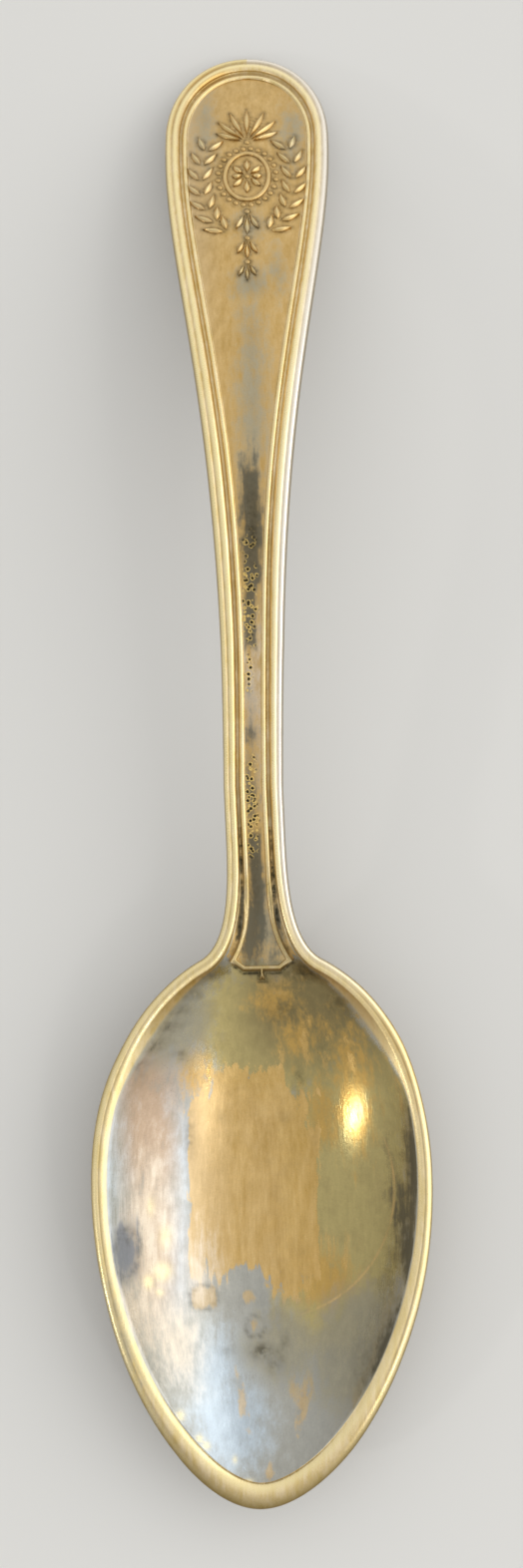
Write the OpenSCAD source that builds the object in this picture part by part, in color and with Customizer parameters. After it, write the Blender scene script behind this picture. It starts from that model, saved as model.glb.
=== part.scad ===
// Teaspoon with a fiddle-shaped handle that has a beaded edge and an inner thread.
// The spoon lies along Y with its toe at -Y, its tip at +Y and the hollow up.
// The table is z = 0, under the worn flat of the bowl and the turned-down tip.

/* [Spoon] */
// Height of the top of the handle's arch over the table
arch_h = 17; // [14:0.1:20]
// Distance from the tip of the handle back to the top of its arch
arch_from_tip = 53; // [45:0.5:60]

/* [Bowl] */
// Width over the rim at the bowl's widest line
bowl_w = 31; // [28:0.1:34]
// Distance from the toe to the end of the tongue
bowl_len = 48; // [46:0.1:51]
// Distance from the toe to the bowl's widest line
toe_len = 28.6; // [26:0.1:30]
// Depth of the hollow below the rim
bowl_depth = 7.2; // [5.5:0.1:8.5]
// Thickness of the wall at the bottom of the bowl
bowl_wall = 1.05; // [0.8:0.05:1.6]
// Thickness of the bowl's edge
edge_t = 0.95; // [0.7:0.05:1.3]
// Width of the rim along the sides
rim_w = 1.35; // [1:0.05:1.8]
// Width of the rim at the toe
toe_rim_w = 2.35; // [1.6:0.05:2.8]
// Fall of the rim across its flat, towards the hollow
rim_dish = 0.08; // [0.02:0.01:0.15]
// Fall of the rim line from the widest line to the toe
toe_drop = 2; // [1:0.1:3]
// Rise of the rim line from the widest line to the tongue
root_rise = 1.6; // [1:0.1:2.6]
// Depth of the flats that use has worn on the underside
wear = 0.12; // [0.05:0.01:0.25]

/* [Neck] */
// Width of the outline where the shoulders turn into the neck
turn_w = 11.3; // [10.4:0.1:12.4]
// Distance of that turn beyond the end of the tongue
turn_up = 0.4; // [0.2:0.1:1]
// Distance from the end of the tongue to the start of the stem
neck_len = 12.4; // [11:0.1:14]
// Width of the tongue at its broad end
tongue_w = 5.7; // [5:0.1:6.4]
// Step from the end of the tongue down to the hollow
tongue_step = 0.5; // [0.3:0.05:0.8]
// Length of the cut-off corners of the tongue
tongue_corner = 0.85; // [0.4:0.05:1.2]
// Reach of the small point in the middle of the tongue's end
tongue_point = 0.5; // [0.2:0.05:0.8]
// Distance over which the step at the tongue's end falls
step_run = 0.2; // [0.1:0.05:0.3]

/* [Handle] */
// Width of the stem at its narrowest
stem_w = 5.5; // [5:0.1:6.5]
// Thickness of the stem
stem_t = 2.8; // [2.2:0.1:3.4]
// Width of the blade at its widest line
blade_w = 16.9; // [15.5:0.1:18.5]
// Thickness of the blade
blade_t = 1.9; // [1.5:0.1:2.4]
// Distance from the tip back to the blade's widest line
tip_len = 12; // [10.5:0.1:13]
// Distance from the tip back to where the stem is taken to end
blade_len = 50; // [47:0.5:54]
// Length of the slender stem between the neck and the blade
stem_len = 35.6; // [30:0.1:42]

/* [Border] */
// Width of the outer bead on the stem
stem_bead_w = 1.2; // [1:0.05:1.35]
// Width of the outer bead on the blade
blade_bead_w = 1.5; // [1.2:0.05:1.8]
// Width of the outer bead at the tip
tip_bead_w = 2; // [1.6:0.05:2.3]
// Width of the groove inside the bead
groove_w = 0.28; // [0.2:0.01:0.35]
// Width of the groove inside the bead at the tip
tip_groove_w = 0.75; // [0.4:0.05:0.9]
// Depth of the groove below the bead
groove_d = 0.5; // [0.3:0.05:0.7]
// Width of the thin inner thread
thread_w = 0.5; // [0.4:0.05:0.6]
// Height of the thread over the panel
thread_h = 0.25; // [0.15:0.05:0.4]
// Depth of the sunk panel below the bead
panel_d = 0.45; // [0.3:0.05:0.6]
// Height of the panel's gentle crown on the blade
panel_crown = 0.16; // [0.05:0.01:0.25]
// Depth of the shallow valley along the bead
bead_valley = 0.07; // [0.02:0.01:0.12]

/* [Crest] */
// Distance from the tip back to the middle of the medallion
medal_from_tip = 18; // [17.5:0.1:19]
// Width of the oval medallion
medal_w = 5; // [4.4:0.1:5.4]
// Length of the oval medallion
medal_len = 7.2; // [6.6:0.1:7.6]
// Width of the medallion's plain ring
medal_ring_w = 0.55; // [0.4:0.05:0.7]
// Height of the relief over the panel
relief_h = 0.5; // [0.35:0.05:0.7]
// Diameter of the small pearls
pearl_d = 0.62; // [0.5:0.02:0.66]
// Pearls round the medallion
pearl_count = 24; // [18:1:26]
// Petals of the rosette in the medallion
rosette_petals = 8; // [5:1:9]
// Length of the middle petal of the palmette
palmette_len = 5; // [4:0.1:5.4]
// Leaves on each side of one laurel branch
branch_leaves = 7; // [4:1:7]
// Length of a laurel leaf
leaf_len = 2.1; // [1.6:0.1:2.3]
// Width of a laurel leaf
leaf_w = 0.8; // [0.6:0.05:0.9]
// Length of the largest husk of the pendant
husk_len = 2.7; // [2.2:0.1:2.9]
// Husks in the pendant
husk_count = 3; // [1:1:3]
// Room between the relief and the panel that carries it
seat_gap = 0.02; // [0.01:0.01:0.05]

/* [Hidden] */

// Places along the spoon
spoon_len = bowl_len + neck_len + stem_len + blade_len;
toe_y = -spoon_len / 2;
tip_y = spoon_len / 2;
wide_y = toe_y + toe_len;
root_y = toe_y + bowl_len;
turn_y = root_y + turn_up;
neck_y = root_y + neck_len;
blade_y = tip_y - blade_len;
flare_y = tip_y - tip_len;
arch_y = tip_y - arch_from_tip;
medal_y = tip_y - medal_from_tip;
shoulder_len = turn_y - wide_y;
neck_run = neck_y - turn_y;

// Height of the rim line over the worn flat of the bowl, and of the tip over its own
top_slopes = [0.11, 0.06, 0.16, 0, -0.36];
tip_foot_share = 0.57;
side_z = bowl_depth + bowl_wall - wear;
tip_z = blade_t - wear + top_slopes[4] * tip_bead_w * tip_foot_share;

// The spoon's top line in side view: place, height and slope at its five turning points
top_line = [
    [toe_y, side_z - toe_drop, top_slopes[0]],
    [wide_y, side_z, top_slopes[1]],
    [root_y, side_z + root_rise, top_slopes[2]],
    [arch_y, arch_h, top_slopes[3]],
    [tip_y, tip_z, top_slopes[4]]
];

// Outline of the right half as curves, with the pulls of their handles as shares
toe_pull_shares = [0.41, 0.575];
shoulder_pull_shares = [0.54, 0.283];
neck_pull_shares = [0.28, 0.37];
tip_pull_shares = [0.573, 0.595];
taper_power = 2.8;
flare_power = 2.2;
turn_angle = 28.3;
turn_dir = [-cos(turn_angle), sin(turn_angle)];
turn_point = [turn_w / 2, turn_y];
toe_curve = [
    [0, toe_y],
    [bowl_w / 2 * toe_pull_shares[0], toe_y],
    [bowl_w / 2, wide_y - toe_len * toe_pull_shares[1]],
    [bowl_w / 2, wide_y]
];
shoulder_curve = [
    [bowl_w / 2, wide_y],
    [bowl_w / 2, wide_y + shoulder_len * shoulder_pull_shares[0]],
    turn_point - turn_dir * shoulder_len * shoulder_pull_shares[1],
    turn_point
];
neck_curve = [
    turn_point,
    turn_point + turn_dir * neck_run * neck_pull_shares[0],
    [stem_w / 2, neck_y - neck_run * neck_pull_shares[1]],
    [stem_w / 2, neck_y]
];
tip_curve = [
    [blade_w / 2, flare_y],
    [blade_w / 2, flare_y + tip_len * tip_pull_shares[0]],
    [blade_w / 2 * tip_pull_shares[1], tip_y],
    [0, tip_y]
];

// Form of the hollow and of its outside, as powers and as shares of the bowl's length
hollow_power = 2.4;
shell_power = 2.4;
stem_power = 2.6;
toe_fall_power = 2.2;
root_fall_power = 1.7;
tongue_power = 2.2;
hollow_start_share = 0.07;
shell_start_share = 0.11;
hollow_start = root_y + bowl_len * hollow_start_share;
shell_start = root_y + bowl_len * shell_start_share;

// Crown of the stem's panel as a share of the blade's, and dip of the groove below its own edges
stem_crown_share = 0.4;
groove_dip_share = 0.05;

// Columns of a section from the edge to the middle line, as shares of what they cross
rim_shares = [0, 0.1, 0.45, 0.74, 1];
rim_fall_shares = [0.5, 0.14];
bead_fall_shares = [0.42, 0.13];
bowl_shares = [0.955, 0.88, 0.79, 0.68, 0.56, 0.43, 0.29, 0.145, 0];
panel_shares = [1, 0.78, 0.54, 0.3, 0.12, 0];
corner_shares = [0.5, 1, 0.75, 0.5, 0, 0, 0, 0, 0];
under_shares = [0.07, 0.4];
under_fall_share = 0.78;
under_crown_share = 0.16;
shell_shares = [0.84, 0.67, 0.5, 0.33, 0.16, 0];
groove_mid_share = 0.5;
groove_dip = groove_d * groove_dip_share;
thread_top_share = 0.45;
spread_share = 0.6;

// Rows along the outline curves, as shares of their length
toe_steps = 16;
shoulder_shares = [0.08, 0.17, 0.26, 0.35, 0.44, 0.53, 0.62, 0.71, 0.79, 0.87, 0.94];
neck_shares = [0.16, 0.25, 0.35, 0.46, 0.58, 0.72, 0.86, 1];
foot_share = 0.01;
lip_share = 0.05;
back_share = 0.1;
stem_steps = 13;
blade_steps = 14;
tip_steps = 12;

// Points of one section that lie closer than this are one point
weld_size = 0.001;

// Curves and blends
function lerp(a, b, t) = a + (b - a) * t;
function limit(t) = max(0, min(1, t));
function smooth(t) = let (c = limit(t)) c * c * (3 - 2 * c);
function larger(a, b, k) = (a + b + sqrt((a - b) * (a - b) + k * k)) / 2;
function curve(p, t) = let (s = 1 - t)
    p[0] * s * s * s + p[1] * 3 * s * s * t + p[2] * 3 * s * t * t + p[3] * t * t * t;
function heading(p, t) = let (
        s = 1 - t,
        d = (p[1] - p[0]) * s * s + (p[2] - p[1]) * 2 * s * t + (p[3] - p[2]) * t * t
    )
    d / norm(d);
function inward(d) = [-d[1], d[0]];
function span(a, b, y) = let (l = b[0] - a[0], t = (y - a[0]) / l, s = 1 - t)
    a[1] * s * s * (1 + 2 * t) + b[1] * t * t * (3 - 2 * t) + l * (a[2] * t * s * s - b[2] * t * t * s);

// Height of the top line
function top_z(y) = let (i = y < wide_y ? 0 : y < root_y ? 1 : y < arch_y ? 2 : 3)
    span(top_line[i], top_line[i + 1], y);

// Share of the handle's border in a section, from the bowl's rim to the stem's bead
function border_share(y) = smooth((y - wide_y - shoulder_len / 2) / (neck_run + shoulder_len / 2));

// Depth of the hollow and of the outside below the top line, along the middle
function fall(y, toe, start) = y < wide_y
    ? 1 - pow(1 - limit((y - toe) / (wide_y - toe)), toe_fall_power)
    : 1 - pow(1 - limit((start - y) / (start - wide_y)), root_fall_power);
function hollow_fall(y) = (bowl_depth - rim_dish) * fall(y, toe_y + toe_rim_w, hollow_start);
function shell_fall(y) = edge_t
    + (bowl_depth + bowl_wall - edge_t) * fall(y, toe_y + toe_rim_w * under_shares[1], shell_start);
function body_t(y) = lerp(stem_t, blade_t, smooth((y - neck_y) / (flare_y - neck_y)));
function heel_share(y) = smooth((y - wide_y) / shoulder_len);
function under_fall(y) = let (a = shell_fall(y), b = body_t(y))
    lerp(larger(a, b * heel_share(y), edge_t * heel_share(y)), b, smooth((y - root_y) / neck_len));

// Half width of the handle, width of its bead, half width of the tongue, depth of the panel
function taper(y) = 1 - pow(1 - pow(limit((y - neck_y) / (flare_y - neck_y)), taper_power), flare_power);
function half_w(y) = lerp(stem_w, blade_w, taper(y)) / 2;
function bead_w(y) = lerp(stem_bead_w, blade_bead_w, smooth((y - neck_y) / (blade_y - neck_y)));
function tongue_half(y) = lerp(tongue_w / 2, stem_w / 2 - stem_bead_w - groove_w,
    1 - pow(1 - limit((y - root_y) / neck_len), tongue_power));
function foot_fall(q) = lerp(rim_dish, groove_d, q);
function tongue_top() = foot_fall(border_share(turn_y)) + hollow_fall(root_y) - tongue_step;
function panel_fall(p) =
    lerp(panel_d, tongue_top(), pow(smooth((neck_y - p[1]) / neck_len), 2))
    - panel_crown * lerp(stem_crown_share, 1, taper(p[1])) * (1 - pow(p[0] / half_w(p[1]), 2));

// A row is its edge point, the direction inwards, and the widths of its bead and its groove
function row_on(p, t, bead, groove) = [curve(p, t), inward(heading(p, t)), bead, groove];
function inner(row, d) = row[0] + row[1] * d;
function below(p, d) = [p[0], p[1], top_z(p[1]) - d];
function worn(p) = [p[0], p[1], max(0, p[2])];
function mirrored(p) = [-p[0], p[1], p[2]];
function edge_depth(y, q) = lerp(edge_t, body_t(y) * (1 - under_crown_share), q);

// Rim of the bowl or bead of the handle, from the edge inwards
function rim_columns(row, q) = let (
        t = edge_depth(row[0][1], q),
        rim_falls = [t * rim_fall_shares[0], t * rim_fall_shares[1], 0, rim_dish / 2, rim_dish],
        bead_falls = [t * bead_fall_shares[0], t * bead_fall_shares[1], bead_valley, 0, groove_d]
    )
    [for (i = [0:len(rim_shares) - 1])
        below(inner(row, row[2] * rim_shares[i]), lerp(rim_falls[i], bead_falls[i], q))];

// Underside, from the edge inwards
function under_columns(row, q) = let (
        p = inner(row, row[2] * under_shares[1]),
        t = edge_depth(p[1], q),
        crown = (under_fall(p[1]) - t) * lerp(1, limit(3 * p[0] / stem_w), q),
        power = lerp(shell_power, stem_power, q)
    )
    concat(
        [worn(below(inner(row, row[2] * under_shares[0]), t * under_fall_share)), worn(below(p, t))],
        [for (s = shell_shares) worn(below([p[0] * s, p[1]], t + crown * (1 - pow(s, power))))]
    );

// Hollow of the bowl, in a section whose rim ends at x = half
function hollow_point(p, half, q) = let (s = half > 0 ? limit(p[0] / half) : 0)
    below(p, foot_fall(q) + hollow_fall(p[1]) * (1 - pow(s, hollow_power)));

// Places across the tongue, and the line of its cut-off corners and middle point
function tongue_places(half, y) = let (
        foot = min(tongue_half(y), half * bowl_shares[1]),
        edge = max(0, foot - thread_w)
    )
    concat(
        [lerp(half, foot, groove_mid_share), foot, lerp(foot, edge, thread_top_share)],
        edge * panel_shares
    );
function tongue_end(y, i) = limit(1 - abs(y - root_y) / (tongue_w / 2))
    * (tongue_corner * corner_shares[i] - (i == len(corner_shares) - 1 ? tongue_point : 0));

// Columns inside the rim, where there is hollow only
function hollow_columns(row, q, y) = let (
        half = inner(row, row[2])[0],
        places = tongue_places(half, y),
        spread = smooth((root_y - y) / (shoulder_len * spread_share))
    )
    [for (i = [0:len(bowl_shares) - 1])
        hollow_point([lerp(places[i], half * bowl_shares[i], spread), y + tongue_end(y, i)], half, q)];

// Columns inside the rim, across the tongue: its groove, its thread and its panel
function tongue_columns(row, q, y, lip) = let (
        half = inner(row, row[2])[0],
        places = tongue_places(half, y)
    )
    [for (i = [0:len(places) - 1])
        let (p = [places[i], y + tongue_end(y, i)])
            i == 0 ? hollow_point(p, half, q) - [0, 0, groove_dip * q]
            : i == 1 ? hollow_point(p, half, q)
            : below(p, panel_fall(p) - (i == 2 || lip ? thread_h : 0))];

// Columns inside the bead of the handle: its groove, its thread and its panel
function panel_columns(row) = let (
        foot = row[2] + row[3],
        edge = inner(row, foot + thread_w),
        thread = inner(row, foot + thread_w * thread_top_share)
    )
    concat(
        [below(inner(row, row[2] + row[3] * groove_mid_share), groove_d + groove_dip)],
        [below(inner(row, foot), groove_d)],
        [below(thread, panel_fall(thread) - thread_h)],
        [for (s = panel_shares) let (p = [edge[0] * s, edge[1]]) below(p, panel_fall(p))]
    );

// Closed section: over the top from right to left, and back underneath
function section(top, under) = concat(
    top,
    [for (i = [len(top) - 2:-1:0]) mirrored(top[i])],
    [for (i = [0:len(under) - 2]) mirrored(under[i])],
    [for (i = [len(under) - 1:-1:0]) under[i]]
);
function step_section(row, y) = let (q = border_share(row[0][1]))
    section(concat(rim_columns(row, q), hollow_columns(row, q, y)), under_columns(row, q));
function bowl_section(row) = step_section(row, inner(row, row[2])[1]);
function tongue_section(row, y, lip) = let (q = border_share(row[0][1]))
    section(concat(rim_columns(row, q), tongue_columns(row, q, y, lip)), under_columns(row, q));
function handle_section(row) =
    section(concat(rim_columns(row, 1), panel_columns(row)), under_columns(row, 1));
function stem_row(y) = [[half_w(y), y], [-1, 0], bead_w(y), groove_w];

// Flat end of a skin: a strip of faces between the top of its section and the underside.
// The points of a section run over the top first, then back under it.
top_last = 2 * (len(rim_shares) + len(bowl_shares) - 1);
function end_faces(n) = let (
        under = [for (i = [0:top_last]) n - 1 - round(i * (n - 2 - top_last) / top_last)]
    )
    [for (i = [0:top_last - 1]) each [[i, i + 1, under[i + 1]], [i, under[i + 1], under[i]]]];

// Skin over a list of closed sections that have as many points each
function welded(ring) = [for (i = [0:len(ring) - 1])
    [for (k = [0:i]) if (norm(ring[k] - ring[i]) < weld_size) k][0]];
function skin_faces(rings, closed_start, closed_end) = let (
        n = len(rings[0]),
        rows = len(rings),
        joined = [for (r = rings) welded(r)],
        id = function (i, j) i * n + joined[i][j % n]
    )
    concat(
        closed_start ? [] : [for (f = end_faces(n)) [f[2], f[1], f[0]]],
        closed_end ? [] : [for (f = end_faces(n)) [for (k = f) (rows - 1) * n + k]],
        [for (i = [0:rows - 2], j = [0:n - 1])
            let (
                a = id(i, j),
                b = id(i, j + 1),
                c = id(i + 1, j + 1),
                d = id(i + 1, j),
                right = rings[i][j][0] + rings[i][(j + 1) % n][0] > 0
            )
                each right ? [[a, b, c], [a, c, d]] : [[a, b, d], [b, c, d]]]
    );
module skin(rings, closed_start = false, closed_end = false) {
    faces = skin_faces(rings, closed_start, closed_end);
    polyhedron(
        points = [for (r = rings) each r],
        faces = [for (f = faces) if (f[0] != f[1] && f[1] != f[2] && f[2] != f[0]) f],
        convexity = 6
    );
}

// Hollow bowl with its rim, its neck and the tongue that ends in the hollow
module bowl() {
    toe_row = [[0, toe_y], [0, 1], toe_rim_w, groove_w];
    foot_row = row_on(neck_curve, foot_share, rim_w, groove_w);
    lip_row = row_on(neck_curve, lip_share, rim_w, groove_w);
    back_row = row_on(neck_curve, back_share, rim_w, groove_w);
    rings = concat(
        [bowl_section(toe_row)],
        [for (i = [1:toe_steps])
            let (t = i / toe_steps)
                bowl_section(row_on(toe_curve, t, lerp(toe_rim_w, rim_w, smooth(t)), groove_w))],
        [for (t = shoulder_shares) bowl_section(row_on(shoulder_curve, t, rim_w, groove_w))],
        [step_section(foot_row, root_y - step_run)],
        [tongue_section(lip_row, root_y, true)],
        [tongue_section(back_row, root_y + thread_w, false)],
        [for (t = neck_shares)
            let (row = row_on(neck_curve, t, lerp(rim_w, stem_bead_w, smooth(t)), groove_w))
                tongue_section(row, inner(row, row[2])[1], false)]
    );
    color("silver") skin(rings, closed_start = true);
}

// Stem between the neck and the blade
module stem() {
    rings = [for (i = [0:stem_steps]) handle_section(stem_row(lerp(neck_y, blade_y, i / stem_steps)))];
    color("silver") skin(rings);
}

// Blade of the handle, with its border round the turned-down tip
module handle() {
    rings = concat(
        [for (i = [0:blade_steps]) handle_section(stem_row(lerp(blade_y, flare_y, i / blade_steps)))],
        [for (i = [1:tip_steps - 1])
            let (t = i / tip_steps, s = smooth(t))
                handle_section(row_on(tip_curve, t, lerp(blade_bead_w, tip_bead_w, s),
                    lerp(groove_w, tip_groove_w, s)))],
        [handle_section([[0, tip_y], [0, -1], tip_bead_w, tip_groove_w])]
    );
    color("silver") skin(rings, closed_end = true);
}

// Form of the relief, as shares of its own sizes
pearl_gap_share = 0.04;
branch_reach_share = 1.95;
pair_gap_share = 0.44;
rosette_share = 0.72;
palmette_w_share = 0.95;
palmette_fall_share = 0.3;
husk_size_share = 0.84;
husk_gap_share = 1.4;
husk_foot_share = 0.7;
husk_w_share = 0.9;
husk_shares = [0.8, 1, 0.8];
ring_shares = [[0, 0], [0.25, 0.8], [0.6, 1], [1, 0.55], [1, 0]];
pearl_shares = [[1, 0], [0.86, 0.5], [0.5, 0.86]];
leaf_fullness = 0.85;
petal_fullness = 1.35;
ridge_angle = 150;
ridge_power = 0.7;
leaf_angle = 34;
branch_angles = [-62, 42];
palmette_angles = [-66, -44, -22, 0, 22, 44, 66];
husk_angles = [-26, 0, 26];
leaf_steps = 4;
pearl_sides = 8;
ring_sides = 36;

// Places of the relief, worked out from the medallion and the panel
panel_half = blade_w / 2 - blade_bead_w - groove_w - thread_w;
pearl_gap = (panel_half - medal_w / 2) * pearl_gap_share;
pearl_oval = [medal_w, medal_len] / 2 + [1, 1] * (pearl_d / 2 + pearl_gap);
outer_oval = pearl_oval + [1, 1] * pearl_d / 2;
branch_x = (outer_oval[0] + panel_half) / 2;
branch_len = outer_oval[1] * branch_reach_share;
palmette_y = medal_y + outer_oval[1] + pearl_d;
pendant_y = medal_y - outer_oval[1] - pearl_d;

// A point over the panel
function seated(p, h) = [p[0], p[1], top_z(p[1]) - panel_fall(p) + seat_gap + h];
function turned(a) = [sin(a), cos(a)];
function medal_point(d, oval) = [d[0] * oval[0], medal_y + d[1] * oval[1]];
function husk_size(i) = husk_len * pow(husk_size_share, i);
function husk_y(i) = i == 0 ? pendant_y : husk_y(i - 1) - husk_size(i - 1) - pearl_d * husk_gap_share;

// Leaf or petal with a raised midrib, from its base in the direction that its angle gives.
// A fullness over 1 moves its widest place towards its end.
module leaf(base, angle, length, width, height, fullness = leaf_fullness) {
    along = turned(angle);
    across = [along[1], -along[0]];
    shares = [for (i = [1:leaf_steps - 1]) i / leaf_steps];
    half = [for (s = shares) width / 2 * sin(180 * pow(s, fullness))];
    middle = [for (s = shares) base + along * length * s];
    n = len(shares);
    points = concat(
        [seated(base, 0)],
        [for (i = [0:n - 1]) seated(middle[i] + across * half[i], 0)],
        [for (i = [0:n - 1]) seated(middle[i] - across * half[i], 0)],
        [for (i = [0:n - 1]) seated(middle[i], height * sin(ridge_angle * pow(shares[i], ridge_power)))],
        [seated(base + along * length, 0)]
    );
    r = 1;
    l = 1 + n;
    m = 1 + 2 * n;
    end = 1 + 3 * n;
    polyhedron(points, concat(
        [[0, m, r], [0, l, m], [0, r, l]],
        [for (i = [0:n - 2]) each [
            [r + i, m + i, m + i + 1], [r + i, m + i + 1, r + i + 1],
            [m + i, l + i, l + i + 1], [m + i, l + i + 1, m + i + 1],
            [l + i, r + i, r + i + 1], [l + i, r + i + 1, l + i + 1]
        ]],
        [[r + n - 1, m + n - 1, end], [m + n - 1, l + n - 1, end], [l + n - 1, r + n - 1, end]]
    ));
}

// Round pearl, flat where it meets the panel
module pearl(centre) {
    radius = pearl_d / 2;
    n = pearl_sides;
    points = concat(
        [for (l = pearl_shares, i = [0:n - 1])
            seated(centre + turned(360 * i / n) * radius * l[0], radius * l[1])],
        [seated(centre, radius), seated(centre, 0)]
    );
    top = len(pearl_shares) * n;
    polyhedron(points, concat(
        [for (k = [0:len(pearl_shares) - 2], i = [0:n - 1])
            let (a = k * n + i, b = k * n + (i + 1) % n)
                each [[a, b, b + n], [a, b + n, a + n]]],
        [for (i = [0:n - 1]) [top - n + i, top - n + (i + 1) % n, top]],
        [for (i = [0:n - 1]) [(i + 1) % n, i, top + 1]]
    ));
}

// Plain oval ring of the medallion
module medal_ring() {
    out = [medal_w, medal_len] / 2;
    n = ring_sides;
    m = len(ring_shares);
    points = [for (i = [0:n - 1], s = ring_shares)
        seated(medal_point(turned(360 * i / n), out - [1, 1] * medal_ring_w * s[0]), relief_h * s[1])];
    polyhedron(points, [for (i = [0:n - 1], k = [0:m - 1])
        let (a = i * m, b = (i + 1) % n * m, l = (k + 1) % m)
            each [[a + k, b + l, a + l], [a + k, b + k, b + l]]], convexity = 4);
}

// Laurel branch on one side
module branch(side) {
    for (i = [0:branch_leaves - 1]) {
        a = lerp(branch_angles[0], branch_angles[1], i / branch_leaves);
        p = [side * branch_x * cos(a), medal_y + branch_len * sin(a)];
        way = atan2(-side * branch_x * sin(a), branch_len * cos(a));
        off = turned(way + 90) * leaf_w / 2 * pair_gap_share;
        leaf(p + off, way + leaf_angle, leaf_len, leaf_w, relief_h);
        leaf(p - off, way - leaf_angle, leaf_len, leaf_w, relief_h);
    }
}

// Relief on the panel: medallion with rosette and pearls, palmette, two branches, husks
module crest() {
    color("goldenrod") {
        medal_ring();
        for (i = [0:pearl_count - 1]) pearl(medal_point(turned(360 * (i + 0.5) / pearl_count), pearl_oval));
        pearl([0, medal_y]);
        for (i = [0:rosette_petals - 1]) {
            a = 360 * i / rosette_petals;
            room = [medal_w, medal_len] / 2 - [1, 1] * (medal_ring_w + pearl_gap);
            start = turned(a) * (pearl_d / 2 + pearl_gap);
            reach = norm([turned(a)[0] * room[0], turned(a)[1] * room[1]]) - norm(start);
            leaf([0, medal_y] + start, a, reach * rosette_share, leaf_w, relief_h, petal_fullness);
        }
        for (a = palmette_angles) {
            length = palmette_len * (1 - palmette_fall_share * pow(a / palmette_angles[0], 2));
            leaf([0, palmette_y] + turned(a) * pearl_d, a, length - pearl_d,
                leaf_w * palmette_w_share, relief_h, petal_fullness);
        }
        pearl([0, palmette_y]);
        for (s = [-1, 1]) branch(s);
        for (i = [0:husk_count - 1]) {
            centre = [0, husk_y(i)];
            pearl(centre);
            for (k = [0:len(husk_angles) - 1]) {
                a = 180 + husk_angles[k];
                leaf(centre + turned(a) * pearl_d * husk_foot_share, a, husk_size(i) * husk_shares[k],
                    leaf_w * husk_w_share * pow(husk_size_share, i), relief_h, petal_fullness);
            }
        }
    }
}

bowl();
stem();
handle();
crest();
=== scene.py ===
import functools
import math

import bmesh
import bpy
import numpy as np
from mathutils import Matrix, Vector
from mathutils.kdtree import KDTree


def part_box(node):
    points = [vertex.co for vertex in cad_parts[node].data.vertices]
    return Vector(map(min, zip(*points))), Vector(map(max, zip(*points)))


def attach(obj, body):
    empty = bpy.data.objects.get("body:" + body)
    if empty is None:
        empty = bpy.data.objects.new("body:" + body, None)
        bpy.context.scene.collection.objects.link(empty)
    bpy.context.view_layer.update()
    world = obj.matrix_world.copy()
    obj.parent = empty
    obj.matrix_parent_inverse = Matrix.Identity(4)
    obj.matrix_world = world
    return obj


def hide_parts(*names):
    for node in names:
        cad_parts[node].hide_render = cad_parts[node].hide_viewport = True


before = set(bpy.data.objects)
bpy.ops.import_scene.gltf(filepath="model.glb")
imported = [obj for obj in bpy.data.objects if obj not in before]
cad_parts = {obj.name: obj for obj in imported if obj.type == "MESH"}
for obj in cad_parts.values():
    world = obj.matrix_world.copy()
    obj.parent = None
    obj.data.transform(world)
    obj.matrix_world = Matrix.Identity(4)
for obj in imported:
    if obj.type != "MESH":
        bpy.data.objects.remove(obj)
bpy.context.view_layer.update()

# Bowl
# The bowl end of the spoon, with its neck and the tongue that ends over the hollow: a brass blank, rolled,
# struck hollow in a die and silver plated. It is one skin, in rows at right angles to the outline, so that
# the rim keeps its width. Sizes are in millimetres and become metres when a mesh is made.
MM = 0.001


def node_box(name):
    low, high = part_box(name)
    return np.array(low) / MM, np.array(high) / MM


BOWL_LOW, BOWL_HIGH = node_box("bowl")
BLADE_LOW, BLADE_HIGH = node_box("handle")
TOE_Y = BOWL_LOW[1]
TIP_Y = BLADE_HIGH[1]
NECK_Y = BOWL_HIGH[1]
BOWL_W = 2 * BOWL_HIGH[0]
BLADE_W = 2 * BLADE_HIGH[0]
ARCH_H = node_box("stem")[1][2]

TOE_LEN = 28.6
BOWL_LEN = 48
TIP_LEN = 12
ARCH_FROM_TIP = 53
WIDE_Y = TOE_Y + TOE_LEN
ROOT_Y = TOE_Y + BOWL_LEN
TURN_Y = ROOT_Y + 0.4
TONGUE_Y = ROOT_Y - 0.55
FLARE_Y = TIP_Y - TIP_LEN
ARCH_Y = TIP_Y - ARCH_FROM_TIP
SHOULDER_LEN = TURN_Y - WIDE_Y
NECK_RUN = NECK_Y - TURN_Y

BOWL_DEPTH = 7.2
BOWL_WALL = 1.05
TOE_CURVE = 2.2
SHOULDER_CURVE = 1.7
HOLLOW_CURVE = 2.4
SHELL_CURVE = 2.4
BACK_CURVE = 2.6
EDGE_T = 0.95
TURN_W = 11.3
SHOULDER_TURN = math.radians(28.3)
STEM_W = 5.5
STEM_T = 2.8
BLADE_T = 1.9

RIM_W = 1.2
TOE_RIM_W = 2.35
RIM_DISH = 0.08
RIM_ROLL_W = 0.62
TOE_ROLL_W = 0.55 * TOE_RIM_W
RIM_LINE_D = 0.05
RIM_LINE_SHARE = 1.12
RIM_LINE_W = 0.09
RIM_LIP = 0.1
TOE_LIP = 0.3
STEM_BEAD_W = 1.2
BEAD_VALLEY = 0.12
BEAD_VALLEY_SHARE = 0.45
BEAD_DROP_SHARE = 0.72
BEAD_T_SHARE = 0.84

GROOVE_W = 0.28
GROOVE_D = 0.5
THREAD_W = 0.5
THREAD_H = 0.25
THREAD_CREST_SHARE = 0.45
PANEL_D = 0.45
PANEL_CROWN = 0.16
STEM_CROWN_SHARE = 0.4
TONGUE_W = 5.7
TONGUE_STEP = 0.5
TONGUE_CORNER = 0.87
CORNER_FACES = (0.607, 0.795)
TONGUE_FLARE = 8
NUB_LEN = 0.75
NUB_W = 0.19

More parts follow.
